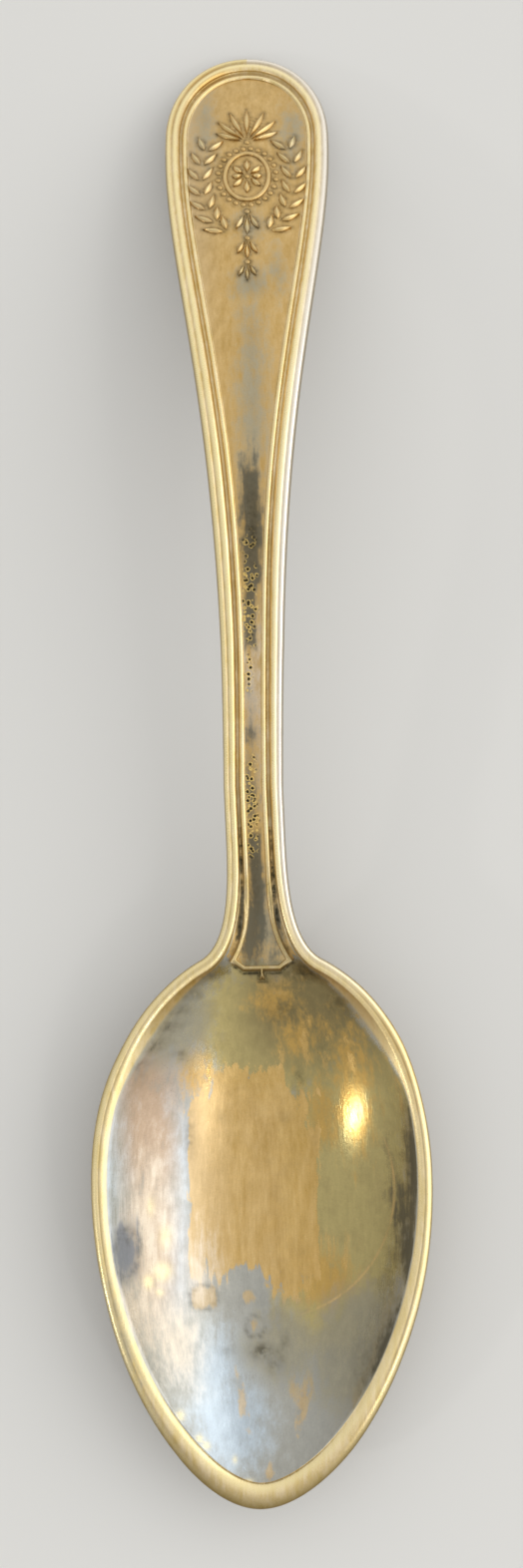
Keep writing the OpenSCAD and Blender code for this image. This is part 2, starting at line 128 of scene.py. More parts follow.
TOE_Z, SIDE_Z, ROOT_Z, TIP_Z = 6.13, 8.13, 9.73, 1.37
# Places along the top line, their heights and slopes
TOP_LINE = [
    (TOE_Y, TOE_Z, 0.11), (WIDE_Y, SIDE_Z, 0.06), (ROOT_Y, ROOT_Z, 0.16), (ARCH_Y, ARCH_H, 0),
    (TIP_Y, TIP_Z, -0.36),
]


def lerp(a, b, share):
    return a + (b - a) * share


def ramp(x, start, end):
    """0 before the start, 1 past the end and straight between them"""
    return np.clip((x - start) / (end - start), 0, 1)


def smooth(share):
    c = np.clip(share, 0, 1)
    return c * c * (3 - 2 * c)


def ease(x, start, end):
    return smooth((x - start) / (end - start))


def hump(x, at, width):
    return np.exp(-((x - at) / width) ** 2)


def quarter_round(share):
    """Height along a quarter circle that starts level and ends upright"""
    return 1 - np.sqrt(1 - np.clip(share, 0, 1) ** 2)


def larger(a, b, blend):
    return (a + b + np.sqrt((a - b) ** 2 + blend ** 2)) / 2


def top_z(y):
    """Height of the spoon's top line, a chain of smooth spans"""
    z = np.where(y < TOE_Y, TOE_Z, np.where(y > TIP_Y, TIP_Z, 0.0))
    for (y0, z0, slope0), (y1, z1, slope1) in zip(TOP_LINE, TOP_LINE[1:]):
        t = (y - y0) / (y1 - y0)
        heights = z0 * (1 - t) ** 2 * (1 + 2 * t) + z1 * t * t * (3 - 2 * t)
        slopes = slope0 * t * (1 - t) ** 2 - slope1 * t * t * (1 - t)
        z = np.where((y >= y0) & (y <= y1), heights + (y1 - y0) * slopes, z)
    return z


def handle_share(y):
    """0 where the edge is the bowl's rim, 1 where it is the handle's bead"""
    return ease(y, WIDE_Y + SHOULDER_LEN / 2, NECK_Y)


def toe_share(width):
    """0 where the rim has its usual width, 1 where it is widest, at the toe"""
    return ease(width, RIM_W, TOE_RIM_W)


def fall(y, toe, root):
    """Share of the bowl's depth along its middle line"""
    to_toe = 1 - (1 - ramp(y, toe, WIDE_Y)) ** TOE_CURVE
    to_root = 1 - (1 - ramp(y, root, WIDE_Y)) ** SHOULDER_CURVE
    return np.where(y < WIDE_Y, to_toe, to_root)


def hollow_fall(y):
    return (BOWL_DEPTH - RIM_DISH) * fall(y, TOE_Y + TOE_RIM_W, ROOT_Y + 0.07 * BOWL_LEN)


def body_t(y):
    return lerp(STEM_T, BLADE_T, ease(y, NECK_Y, FLARE_Y))


def edge_t(y, handle):
    return lerp(EDGE_T, body_t(y) * BEAD_T_SHARE, handle)


def under_fall(y):
    """Depth of the underside: the bowl's shell, the heel that grows out of it, and the handle's back"""
    shell = fall(y, TOE_Y + TOE_RIM_W * 0.4, ROOT_Y + 0.11 * BOWL_LEN)
    shell = lerp(EDGE_T, BOWL_DEPTH + BOWL_WALL, shell)
    heel = ease(y, WIDE_Y, TURN_Y)
    return lerp(larger(shell, body_t(y) * heel, EDGE_T * heel), body_t(y), ease(y, ROOT_Y, NECK_Y))


def taper(y):
    """0 along the slender stem, 1 where the blade is broad"""
    return 1 - (1 - ramp(y, NECK_Y, FLARE_Y) ** 2.8) ** 2.2


def half_w(y):
    return lerp(STEM_W, BLADE_W, taper(y)) / 2


def tongue_half(y):
    narrow = STEM_W / 2 - STEM_BEAD_W - GROOVE_W
    flare = 1 - np.clip((y - TONGUE_Y - TONGUE_CORNER) / TONGUE_FLARE, 0, 1)
    return lerp(narrow, TONGUE_W / 2, flare ** 3.2)


def foot_fall(handle):
    return lerp(RIM_DISH, GROOVE_D, handle)


def panel_fall(x, y):
    """Depth of the sunk panel, which swells along its middle and comes down on the hollow as the tongue"""
    tongue_top = foot_fall(handle_share(TURN_Y)) + hollow_fall(ROOT_Y) - TONGUE_STEP
    deep = lerp(PANEL_D, tongue_top, ease(y, NECK_Y, ROOT_Y) ** 2)
    return deep - PANEL_CROWN * lerp(STEM_CROWN_SHARE, 1, taper(y)) * (1 - (x / half_w(y)) ** 2)


def thread_rise(share):
    """Round profile of the thread over its width: 0 at both feet and 1 at its crest"""
    side = THREAD_CREST_SHARE - share
    side = np.where(side > 0, side / THREAD_CREST_SHARE, side / (1 - THREAD_CREST_SHARE))
    return np.sqrt(np.clip(1 - side ** 2, 0, 1))


def thread_depth(share, outside, panel):
    """Depth over the thread's width, from the groove or hollow outside it to the panel inside"""
    foot = np.where(share < THREAD_CREST_SHARE, outside, panel)
    return lerp(foot, panel - THREAD_H, thread_rise(share))


def bezier(points, t):
    p, t, s = np.array(points, float), t[:, None], 1 - t[:, None]
    return p[0] * s ** 3 + p[1] * 3 * s * s * t + p[2] * 3 * s * t * t + p[3] * t ** 3


def heading(points, t):
    p, t, s = np.array(points, float), t[:, None], 1 - t[:, None]
    way = (p[1] - p[0]) * s * s + (p[2] - p[1]) * 2 * s * t + (p[3] - p[2]) * t * t
    return way / np.linalg.norm(way, axis=1)[:, None]


def rows_on(points, t, bead, groove):
    """Rows along an outline curve: edge point, way inwards, width of the bead and of the groove"""
    way = heading(points, t)
    return bezier(points, t), np.stack([-way[:, 1], way[:, 0]], 1), bead + 0 * t, groove + 0 * t


def joined(*parts):
    return tuple(np.concatenate([part[i] for part in parts]) for i in range(4))


def rim_fall(across, thick, width):
    """Rim of the bowl: outer roll, thin line, a flat that dishes inwards, and the lip of the hollow"""
    toe = toe_share(width)
    roll = lerp(RIM_ROLL_W, TOE_ROLL_W, toe) / width
    line = RIM_LINE_D * (1 - toe) * hump(across * width, roll * RIM_LINE_SHARE * width, RIM_LINE_W)
    lip = lerp(RIM_LIP * ramp(across, 0.6, 1) ** 2, TOE_LIP * ramp(across, 0.62, 1) ** 2, toe)
    return 0.5 * thick * quarter_round(1 - across / roll) + RIM_DISH * ramp(across, roll, 1) + line + lip


def bead_fall(across, thick):
    """Bead of the handle: an outer roll, a thin valley, an inner roll and the drop into the groove"""
    roll = 0.8 * quarter_round(ramp(across, 0.25, 0)) + 0.2 * ramp(across, 0.6, 0) ** 2
    lowest = BEAD_VALLEY_SHARE
    valley = np.minimum(ramp(across, 0.2, lowest), ramp(across, BEAD_DROP_SHARE, lowest)) ** 2.2
    drop = quarter_round(ramp(across, BEAD_DROP_SHARE, 1))
    return 0.42 * thick * roll + BEAD_VALLEY * valley + GROOVE_D * drop


# Columns as shares of the width that they cross, and turns of the round edge underneath
RIM_SHARES = np.array([
    0, 0.02, 0.05, 0.09, 0.14, 0.2, 0.27, 0.34, 0.4, 0.45, 0.5, 0.56, 0.63, 0.7, 0.77, 0.84, 0.9, 0.95,
    0.98, 1,
])
GROOVE_SHARES = np.array([0.3, 0.65, 1])
THREAD_SHARES = np.array([0.04, 0.12, 0.25, 0.45, 0.65, 0.82, 0.94, 1])
UNDER_TURNS = np.radians([15, 32, 50, 70, 90])
UNDER_COUNT = 18
TONGUE_COUNT = 40


def across_border(rows, shares):
    """Places across the rim or bead, at shares of its width in from the edge"""
    edge, inward, width, _ = rows
    return edge[:, None, :] + inward[:, None, :] * (width[:, None] * shares)[:, :, None]


def to_middle(count):
    """Even steps from 1 at an edge, which is left out, to 0 on the middle line"""
    return 1 - np.linspace(0, 1, count + 1)[1:]


def rim_part(rows):
    """Places and heights of the rim's columns, from the edge inwards"""
    y, width = rows[0][:, 1:], rows[2][:, None]
    xy = across_border(rows, RIM_SHARES)
    handle = handle_share(y)
    thick = edge_t(y, handle)
    drop = lerp(rim_fall(RIM_SHARES, thick, width), bead_fall(RIM_SHARES, thick), handle)
    return np.dstack([xy, top_z(xy[:, :, 1]) - drop])


def under_part(rows):
    """Underside: round over the edge, then the shell's curve to the middle line"""
    handle = handle_share(rows[0][:, 1:])
    xy = across_border(rows, 0.4 * (1 - np.cos(UNDER_TURNS)))
    foot_x, foot_y = xy[:, -1, :1], xy[:, -1, 1:]
    thick = edge_t(foot_y, handle)
    side = np.dstack([xy, top_z(xy[:, :, 1]) - thick * (0.5 + 0.5 * np.sin(UNDER_TURNS))])
    share = to_middle(UNDER_COUNT)
    crown = (under_fall(foot_y) - thick) * lerp(1, np.clip(3 * foot_x / STEM_W, 0, 1), handle)
    x, y = foot_x * share, foot_y + 0 * share
    z = top_z(y) - thick - crown * (1 - share ** lerp(SHELL_CURVE, BACK_CURVE, handle))
    return np.concatenate([side, np.dstack([x, y, z])], 1)


def tongue_inside(x, y):
    """Distance in from the tongue's outline, with its cut corners and small forked point"""
    x = np.abs(x)
    corner = (TONGUE_W / 2 - x) * CORNER_FACES[0] + (y - TONGUE_Y - TONGUE_CORNER) * CORNER_FACES[1]
    inside = np.minimum(np.minimum(tongue_half(y) - x, y - TONGUE_Y), corner)
    down = np.clip((TONGUE_Y - y) / NUB_LEN, -0.3, 1)
    fork = 0.9 * NUB_W * np.clip(down, 0, 1) ** 2
    nub = np.minimum(NUB_W * (1 - 0.5 * down) - np.abs(x - fork), y - TONGUE_Y + NUB_LEN)
    return np.maximum(inside, np.where(y < TONGUE_Y + THREAD_W / 2, nub, -1))


def bowl_rows():
    """Rows round the right half of the bowl's outline, from the toe to where the stem starts"""
    half, side, turn = BOWL_W / 2, (BOWL_W / 2, WIDE_Y), np.array([TURN_W / 2, TURN_Y])
    way = np.array([-math.cos(SHOULDER_TURN), math.sin(SHOULDER_TURN)])
    toe_curve = [(0, TOE_Y), (half * 0.41, TOE_Y), (half, WIDE_Y - TOE_LEN * 0.575), side]
    shoulder_curve = [side, (half, WIDE_Y + SHOULDER_LEN * 0.54), turn - way * SHOULDER_LEN * 0.283, turn]
    half = STEM_W / 2
    neck_curve = [turn, turn + way * NECK_RUN * 0.28, (half, NECK_Y - NECK_RUN * 0.37), (half, NECK_Y)]
    toe = np.sin(np.linspace(0, math.pi / 2, 120))[1:]
    shoulder = np.concatenate([np.linspace(0, 0.89, 80)[1:], np.linspace(0.89, 1, 46)[1:]])
    neck = np.concatenate([np.linspace(0, 0.14, 46)[1:], np.linspace(0.14, 1, 100)[1:]])
    return joined(
        (np.array([[0, TOE_Y]]), np.array([[0, 1.0]]), np.array([TOE_RIM_W]), np.array([GROOVE_W])),
        rows_on(toe_curve, toe, lerp(TOE_RIM_W, RIM_W, smooth(toe)), GROOVE_W),
        rows_on(shoulder_curve, shoulder, RIM_W, GROOVE_W),
        rows_on(neck_curve, neck, lerp(RIM_W, STEM_BEAD_W, smooth(neck)), GROOVE_W),
    )


def bowl_inside(rows):
    """Hollow and tongue: columns that follow the tongue's edges and fan out over the hollow"""
    edge, inward, width, _ = rows
    rim = edge + inward * width[:, None]
    half, y = rim[:, :1], rim[:, 1:]
    foot = np.minimum(tongue_half(y), half * 0.88)
    over = np.clip(foot - THREAD_W, 0, None)
    on_tongue = np.concatenate([
        lerp(half, foot, GROOVE_SHARES), lerp(foot, over, THREAD_SHARES), over * to_middle(TONGUE_COUNT),
    ], 1)
    even = half * to_middle(on_tongue.shape[1]) ** 1.05
    x = lerp(on_tongue, even, smooth((TONGUE_Y - NUB_LEN - y) / (SHOULDER_LEN * 0.6)))
    y = y + 0 * x
    share = np.clip(x / np.maximum(half, THREAD_W / 1000), 0, 1)
    outside = foot_fall(handle_share(edge[:, 1:])) + hollow_fall(y) * (1 - share ** HOLLOW_CURVE)
    thread = np.clip(tongue_inside(x, y) / THREAD_W, 0, 1)
    return np.dstack([x, y, top_z(y) - thread_depth(thread, outside, panel_fall(x, y))])


def whole_sections(right, under, mirror=1):
    """Sections all round the spoon: right half of the top, mirrored half, and back underneath"""
    left = (right[:, :-1] * mirror)[:, ::-1]
    return np.concatenate([right, left, under[:, :-1] * mirror, under[:, ::-1]], 1)


# Places along the spoon and how far its middle line has gone sideways there
SWAY = [
    (-73, -0.5), (-68, -0.22), (-60, -0.12), (-46, 0.05), (-36, 0.22), (-27, 0.35), (-18, 0.1), (-9, -0.15),
    (4, 0), (73, 0),
]
SWAY_FADE = 3


def worn_shape(points):
    """A used spoon isn't true: its middle line sways, but the bowl's widest places stay"""
    along, sideways = np.array(SWAY).T
    free = smooth((BOWL_HIGH[0] - np.abs(points[:, 0])) / SWAY_FADE)
    points[:, 0] += free * np.interp(points[:, 1], along, sideways)
    points[:, 2] = np.maximum(points[:, 2], 0)
    return points


def quads(index):
    """Faces between each closed row of points and the next"""
    beside = np.roll(index, -1, 1)
    return np.stack([index[:-1], beside[:-1], beside[1:], index[1:]], -1).reshape(-1, 4).tolist()


def worn_fields(mesh, fields):
    for key, values in fields.items():
        mesh.attributes.new(key, "FLOAT", "POINT").data.foreach_set("value", values.astype(np.float32))
    mesh.polygons.foreach_set("use_smooth", [True] * len(mesh.polygons))


def stood(name, data):
    """A mesh, lamp or camera as an object in the scene"""
    thing = bpy.data.objects.new(name, data)
    bpy.context.scene.collection.objects.link(thing)
    return thing


MERGE_D = 0.004
THINNEST_D = 0.001


def skin(name, grid, capped, fields, material):
    """Closed mesh over rows of sections, with flat caps where the spoon goes on in the next piece"""
    index = np.arange(grid[:, :, 0].size).reshape(grid.shape[:2])
    faces = quads(index)
    if capped[0]:
        faces.append(index[0, ::-1].tolist())
    if capped[1]:
        faces.append(index[-1].tolist())
    mesh = bpy.data.meshes.new(name)
    mesh.from_pydata((worn_shape(grid.reshape(-1, 3).copy()) * MM).tolist(), [], faces)
    worn_fields(mesh, fields)
    mesh.materials.append(material)
    work = bmesh.new()
    work.from_mesh(mesh)
    bmesh.ops.remove_doubles(work, verts=work.verts, dist=MERGE_D * MM)
    bmesh.ops.dissolve_degenerate(work, edges=work.edges, dist=THINNEST_D * MM)
    for face in work.faces:
        if len(face.verts) > 4:
            face.smooth = False
            for edge in face.edges:
                edge.smooth = False
    bmesh.ops.recalc_face_normals(work, faces=work.faces)
    work.to_mesh(mesh)
    work.free()
    return stood(name, mesh)


# Worn and stained places in the hollow and on the panel, with painted reflections and painted shade among
# them. Each has its middle, half width and half length, then its turn in degrees and, where it has straight
# sides, their slope.
PLACES = {
    # Rubbed through to brass
    "brass": [
        (-0.9, -45.2, 6.1, 8.6, 0, 3), (-1.4, -37.3, 3.4, 3, 0, 3), (-5.4, -38.2, 1.3, 2.2),
        (2.3, -53.4, 2.2, 1.8, -18), (0, 26, 9, 50.6, 0, 3),
    ],
    # Small strokes and specks of brass
    "fleck": [
        (-5.5, -55.2, 1.15, 0.95, 0, 3), (-1.4, -55.2, 0.4, 0.45), (-1, -57.8, 0.25, 0.3),
        (-1.9, -64.2, 0.3, 1.4, 12), (2.7, -62.9, 0.22, 0.6), (3.6, -64.2, 0.4, 1.7, -10),
        (4.3, -62.6, 0.22, 0.8), (9.9, -60.2, 0.3, 1.7, -14), (8.6, -62.9, 0.35, 1.2, -20),
        (10.9, -57, 0.2, 1, -14), (0.6, -69.9, 0.3, 0.7), (6.3, -51.6, 0.28, 1.4), (7.6, -50.4, 0.2, 1.3),
        (5.4, -49.8, 0.2, 0.9), (4, -32, 0.3, 1.6), (8.3, -33, 0.28, 1.4), (6, -33.6, 0.22, 1.2),
        (12.4, -36, 0.3, 1.8, 8), (-5.9, -34.2, 0.5, 1.2), (2, -33.4, 0.3, 0.9), (1.2, -23.2, 1, 1.6),
    ],
    # Thin plate that has turned warm, and round the bright point high on the right of the hollow, partly a
    # painted glow of its highlight
    "warm": [
        (8.4, -37.2, 1.5, 4), (7.8, -33.2, 1.2, 2.4), (3.4, -31.6, 1.6, 1.8), (1, -28, 1.6, 1.4),
        (5.6, -38.6, 1.6, 2.4), (5.6, -53.6, 2.6, 2.4), (-6.3, -35, 1.4, 2.2),
    ],
    # Thick plate, gone grey-blue, partly a painted reflection of the sky at the bottom of the hollow
    "blue": [
        (-3.2, -66, 3.4, 4, 20), (-4.4, -62, 2, 3.6, 12), (-13.9, -43, 0.5, 8, 4), (-7.4, -44.5, 0.3, 6),
        (-7.6, -51.4, 0.6, 4.4), (1.1, 28, 0.5, 4, 4), (0.9, 10.5, 0.2, 5),
    ],
    # Cream plate on the left, partly a painted reflection of the window
    "cream": [
        (-10.6, -49.6, 1.6, 3.6, 4), (-9.5, -49.4, 0.8, 3.2), (-11.4, -55.6, 1.3, 2.8, 16),
        (-8, -58.6, 1.6, 3, 20), (-5.9, -52.4, 0.8, 1.8), (-10.3, -43.5, 0.6, 1.4),
        (-0.1, -0.4, 0.7, 3.4),
    ],
    # Pink plate on the left, partly a painted reflection of the window
    "pink": [
        (-10.4, -39.8, 3, 8, 4), (-9.8, -50, 2.8, 6, 8), (-8.6, -36.6, 1.4, 3.5), (-6.9, -33.9, 1, 2),
    ],
    # Olive tarnish
    "olive": [
        (2, -30.4, 8.4, 7), (7.8, -44, 6.4, 14.5), (10.5, -36, 3.4, 8, 18), (5.5, -56, 4.4, 3.6, -30),
        (9.6, -29.8, 2.8, 4, 38), (11.4, -31.8, 2.2, 5, 36),
    ],
    # Dull plate
    "drab": [
        (8.4, -59.4, 4, 5.4, -28), (2.2, -59.6, 2.6, 3), (-8.2, -30.4, 3, 3.4, -36), (0.4, 27, 1.1, 7),
        (0.4, 40.5, 1.6, 1.8), (-4.4, 63, 0.7, 3), (4.8, 61, 0.9, 3), (2.9, 42, 0.5, 1.2),
        (0.2, 48, 0.8, 1.2), (0.3, 33, 0.9, 4), (1, -21.5, 1.2, 3), (0.5, -59.8, 1.8, 1.2),
    ],
    # Dark tarnish along the neck and the stem; the spots down the steep right wall and on the upper left
    # wall are painted shade, a dark reflection
    "shade": [
        (14, -43, 0.9, 8.5, 0), (13.4, -51.5, 0.9, 7, 9), (11.6, -58.5, 0.8, 4.5, -24),
        (-10.6, -31.2, 0.6, 3.6, -36), (0.1, 14.7, 0.75, 5.6, 0, 3), (0.1, 14, 1, 5.8),
        (-0.15, 6.9, 0.5, 3.4, 0, 3), (-0.3, -4.5, 0.45, 0.9), (-0.3, -7.2, 0.4, 0.6),
        (-0.1, -17.2, 0.6, 4.4, 0, 3), (-0.8, -21.4, 1.2, 3.6), (-0.3, -19, 0.8, 4),
        (1.9, -19.5, 0.3, 3, -8), (-0.2, -8.8, 0.3, 3.6), (-12.4, -50.9, 1.1, 2.3, 4),
    ],
    # Pitted and black, on the stem
    "soil": [
        (-0.15, 9, 0.65, 5.4), (-0.3, 1.6, 0.3, 1.4), (-0.2, -8, 0.5, 2.2), (-0.3, -12.6, 0.6, 3),
    ],
}
# Plate that is left inside the rubbed place
BRASS_BAYS = [(-2, -54.9, 2.6, 2.4), (-5.7, -56, 2.4, 3), (3.1, -35.3, 0.9, 1.9), (5.2, -38, 1.2, 1.6)]
# Gold and dull places of the border
BORDER_PLACES = {
    "warm": [
        (-4.8, 70, 2.6, 2.4, 40), (-7.6, 64.5, 0.7, 2.4, -8), (-14.6, -30, 1.5, 4, -30),
        (13, -33, 0.8, 5, 30),
    ],
    "drab": [(-13.6, -56.5, 0.7, 5, 20)],
}
# Soft dark stains, partly painted shade at the top of the hollow under the tongue and along the walls by the
# rim: middle, width, length and strength
STAINS_AND_SHADE = [
    (-0.2, -60, 1, 0.7, 0.6), (1.1, -60.9, 0.8, 1, 0.5), (1.9, -59.4, 0.5, 1.2, 0.3),
    (-3.4, -59.9, 0.9, 0.3, 0.25), (0.4, -56.4, 1.8, 1.8, 0.16), (3.3, -35.4, 0.7, 1.5, 0.4),
    (-7.6, -32.9, 0.5, 0.9, 0.4), (-12.4, -49.7, 0.5, 0.6, 0.25), (10.9, -31, 0.7, 1.8, 0.35),
    (9.4, -29.4, 1, 1, 0.4), (-10.3, -31.3, 0.7, 1.6, 0.6), (-9.1, -29.9, 0.8, 1.2, 0.6),
    (-8.1, -28.6, 0.9, 1, 0.55), (-6.8, -27.4, 1, 0.8, 0.5), (-11.4, -33.8, 0.5, 1.8, 0.4),
    (0.1, 14.6, 0.7, 4.6, 0.55), (-0.2, -17.4, 0.5, 3.4, 0.35), (-5.2, -25.6, 1.2, 0.7, 0.7),
    (4.6, -25.6, 2.2, 0.9, 0.7), (8, -28.4, 2, 1.2, 0.45), (1.8, -29, 1.6, 1.2, 0.35),
    (5.6, -33, 1.2, 2.6, 0.25), (11.6, -54, 1.6, 5, 0.25), (9.6, -61, 1.6, 3.4, 0.25),
    (-3.9, -38.8, 0.7, 0.6, 0.2), (2, -39, 0.5, 0.5, 0.25), (4.9, -41, 0.4, 1.2, 0.2),
    (-6.9, -40.5, 0.5, 2.4, 0.3),
]
# Round water marks with a dark rim: middle, half width, half length and strength
RINGS = [
    (-5.5, -55.2, 1.3, 1.05, 0.4), (-1.4, -55.3, 0.7, 0.7, 0.15), (-0.8, -57.9, 0.9, 0.9, 0.42),
    (-12.4, -50.9, 1, 2.2, 0.3),
]
RING_LINE_W = 0.2
# Bright places where a bit of plate has lifted: middle, width, length and strength
CHIPS = [
    (-7.4, -64.9, 0.3, 0.35, 0.8), (-5.7, -66.9, 0.3, 0.3, 0.7), (-5.1, -67.5, 0.3, 0.3, 0.8),
    (-4.6, -69.1, 0.35, 0.3, 0.9), (-3.4, -69.9, 0.4, 0.25, 0.9), (-2.6, -70.4, 0.5, 0.2, 0.9),
    (-2.5, -68.8, 0.2, 0.3, 0.6), (-10.5, -53.5, 0.35, 0.5, 0.9), (-9.3, -52.7, 0.7, 0.7, 0.7),
    (-9.5, -54.5, 0.3, 0.3, 0.6), (-9.1, -49.6, 0.5, 1, 0.4), (-10.4, -46.8, 0.3, 0.8, 0.4),
    (-6.5, -68.1, 0.25, 0.5, 0.7), (-8.6, -65.6, 0.25, 0.6, 0.6), (-1.2, -70.5, 0.4, 0.2, 0.7),
]
# Widths of the dark tone along the rim's outer edge, which is painted shade, and the length over which the
# neck's tongue darkens
DARK_EDGE_W = 0.32
TOE_DARK_EDGE_W = 1.5
NECK_FADE = 6
# The curved scratch runs through these three places
SCRATCH = [(12.1, -44.4), (9.7, -52.5), (5.1, -56.2)]
# Distances from the edge of a place are cut off at this many millimetres
FAR = 4


def spot(x, y, at_x, at_y, across, along, turn=0, slope=0):
    """Distance in from the edge of an oval place, or of a straight-sided one where it has a slope"""
    c, s = math.cos(math.radians(turn)), math.sin(math.radians(turn))
    u = np.abs((x - at_x) * c + (y - at_y) * s)
    v = np.abs((y - at_y) * c - (x - at_x) * s)
    if slope:
        return np.minimum((across - u) * slope, along - v)
    return (1 - np.hypot(u / across, v / along)) * min(across, along)


def places(x, y, spots):
    return np.max([spot(x, y, *place) for place in spots], 0)


def dab(x, y, at_x, at_y, across, along, strength):
    """A mark that is strongest in its middle and has no edge"""
    return strength * hump(x, at_x, across) * hump(y, at_y, along)


def marks(x, y, inside, rub, grime, edge, pale):
    """Wear, dirt, painted shade and the painted highlight at each point. Inside is 1 in the hollow and
    panel, 0 on the border, -1 underneath.
    """
    shown = inside > 0.5
    # Stains, some of them partly painted shade at the top of the hollow and along the walls by the rim
    for stain in STAINS_AND_SHADE:
        grime = np.maximum(grime, shown * dab(x, y, *stain))
    for at_x, at_y, across, along, strength in RINGS:
        off = (np.hypot((x - at_x) / across, (y - at_y) / along) - 1) * min(across, along)
        grime = np.maximum(grime, shown * strength * hump(off, 0, RING_LINE_W))
    for chip in CHIPS:
        rub = np.maximum(rub, shown * dab(x, y, *chip))
    # The painted highlight is kept to the right side of the spoon, where the window's light falls
    fields = {"inside": inside, "rub": rub, "grime": grime, "edge": edge, "pale": pale * (x > 0)}
    for key, spots in PLACES.items():
        here = places(x, y, spots)
        if key == "brass":
            here = np.minimum(here, -places(x, y, BRASS_BAYS))
        border = -FAR
        if key in BORDER_PLACES:
            border = np.where(inside > -0.5, places(x, y, BORDER_PLACES[key]), -FAR)
        fields[key] = np.clip(np.where(shown, here, border), -FAR, FAR)
    return {key: value.reshape(-1) for key, value in fields.items()}


def linear(hexa):
    """sRGB hex value as a linear colour"""
    parts = [int(hexa[i:i + 2], 16) / 255 for i in (1, 3, 5)]
    return tuple([c / 12.92 if c <= 0.04045 else ((c + 0.055) / 1.055) ** 2.4 for c in parts] + [1])


def add(tree, kind, links=None, out=0, **settings):
    """Adds a node, sets it up, links its inputs or gives them values, and returns an output"""
    node = tree.nodes.new(kind)
    for key, value in settings.items():
        setattr(node, key, value)
    for key, value in (links or {}).items():
        for item in value if isinstance(value, list) else [value]:
            if isinstance(item, bpy.types.NodeSocket):
                tree.links.new(item, node.inputs[key])
            else:
                is_colour = isinstance(item, str) and item.startswith("#")
                node.inputs[key].default_value = linear(item) if is_colour else item
    return node.outputs[out] if node.outputs else None


def faded(node, amount, *fades):
    """An amount times one fade after another: what it follows, from where to where, and its values there"""
    for source, start, end, *values in fades:
        low, high = values or (0, 1)
        fade = node("ShaderNodeMapRange", {0: source, 1: start, 2: end, 3: low, 4: high})
        amount = node("ShaderNodeMath", {0: amount, 1: fade}, operation="MULTIPLY")
    return amount


def layered(node, tone, *layers):
    """A tone under layers of others: where each lies, how strongly it covers, and its own tone"""
    for where, cover, over in layers:
        amount = node("ShaderNodeMath", {0: where, 1: cover}, operation="MULTIPLY")
        tone = node("ShaderNodeMix", {0: amount, 6: tone, 7: over}, 2, data_type="RGBA")
    return tone


# Silver electroplated on brass and polished, worn for many years. Thick plate has gone grey and blue, thin
# plate is tan, and where it is rubbed through the brass shows gold. A smooth olive film lies between them,
# with dirt in the grooves, black pits in the stem's panel, and hairlines that blur the reflections. Some
# tones are painted light: reflections in the grey-blue, pink and cream places, a glow round a bright point,
# shade in the hollow and along the outer edges, and a highlight on the right beads.
BORDER = "#e8ca82"
BORDER_PALE = "#f0dab0"
# White of the painted highlight on the right side's beads
PAINTED_HIGHLIGHT = "#fff6e8"
# Dark edge tone: painted shade on the outer side of the rim and bead and over the underside, and a darker
# tint on the tongue's thread towards the bowl
EDGE = "#86713f"
GREY = "#b1afa5"
BLUE = "#bdc8cf"
CREAM = "#d5c8b4"
PINK = "#baa28a"
OLIVE = "#c3b278"
# Darker olive, painted shade towards the top of the hollow
OLIVE_SHADE = "#93835a"
DRAB = "#a49d86"
# Dark tarnish, and the painted shade down the hollow's walls
SHADE = "#656152"
SHADE_BLUE = "#868b93"
BRASS = "#cda55a"
BRASS_LIGHT = "#dbb97c"
BRASS_PALE = "#d3bb94"
RUBBED = "#ffecb2"
SOIL = "#3a3526"
CRUST = "#e2c274"
GRIME = "#7d6238"

# How many of each fit in a millimetre: clouds in the tarnish, streaks along the spoon, grains, blotches in
# the dirt, pits, and hairlines, which are drawn coarser than the real ones so that they show
CLOUDS_PER_MM = 0.55
STREAKS_PER_MM = 1.6
GRAINS_PER_MM = 6
BLOTCHES_PER_MM = 1.5
PITS_PER_MM = 2.1
HAIRS_PER_MM = 8
HAIR_TURN = math.radians(12)
# Streaks and hairlines are this share as close together lengthwise as they are sideways
STREAK_SHARE, HAIR_SHARE = 0.16, 0.05
# How high the grain stands, in millimetres
GRAIN_H = 0.03

# By how many millimetres clouds and streaks move the edge of each place, and how soft the edge is
RAGGED = {
    "brass": (2, 5, 0.2), "fleck": (0.4, 2.2, 0.2), "warm": (3, 7, 1.4), "blue": (4, 5, 2.2),
    "cream": (3, 6, 1.8), "pink": (4, 6, 2), "olive": (4, 6, 1.6), "drab": (4, 5, 1.5), "shade": (2, 3, 0.6),
    "soil": (2, 0, 0.15),
}
# From where to where on the spoon a tone or a mark fades in
# Where the olive darkens as painted shade: towards the top of the hollow and towards its right
OLIVE_SHADE_X, OLIVE_SHADE_Y = (-4, 1), (-37, -30)
BRASS_PALE_X = (-2.5, -6.5)
SHADE_BLUE_X = (-10.8, -11.6)
BOWL_DIRT_Y = (-6, -15)
SCRATCH_TOP_Y, SCRATCH_END_Y, SCRATCH_X = (-40, -44), (-58.5, -56), (3, 5)
SCRATCH_EDGE = (0.16, 0.02)


def scratch_line(node, x, y):
    """Distance from the circle through the scratch's three places"""
    first, second, third = np.array(SCRATCH)
    squares = [second @ second - first @ first, third @ third - first @ first]
    centre = np.linalg.solve(2 * np.array([second - first, third - first]), squares)
    flat = node("ShaderNodeCombineXYZ", {0: x, 1: y})
    reach = node("ShaderNodeVectorMath", {0: flat, 1: (*centre, 0)}, "Value", operation="DISTANCE")
    off = node("ShaderNodeMath", {0: reach, 1: np.linalg.norm(first - centre)}, operation="SUBTRACT")
    return node("ShaderNodeMath", {0: off}, operation="ABSOLUTE")


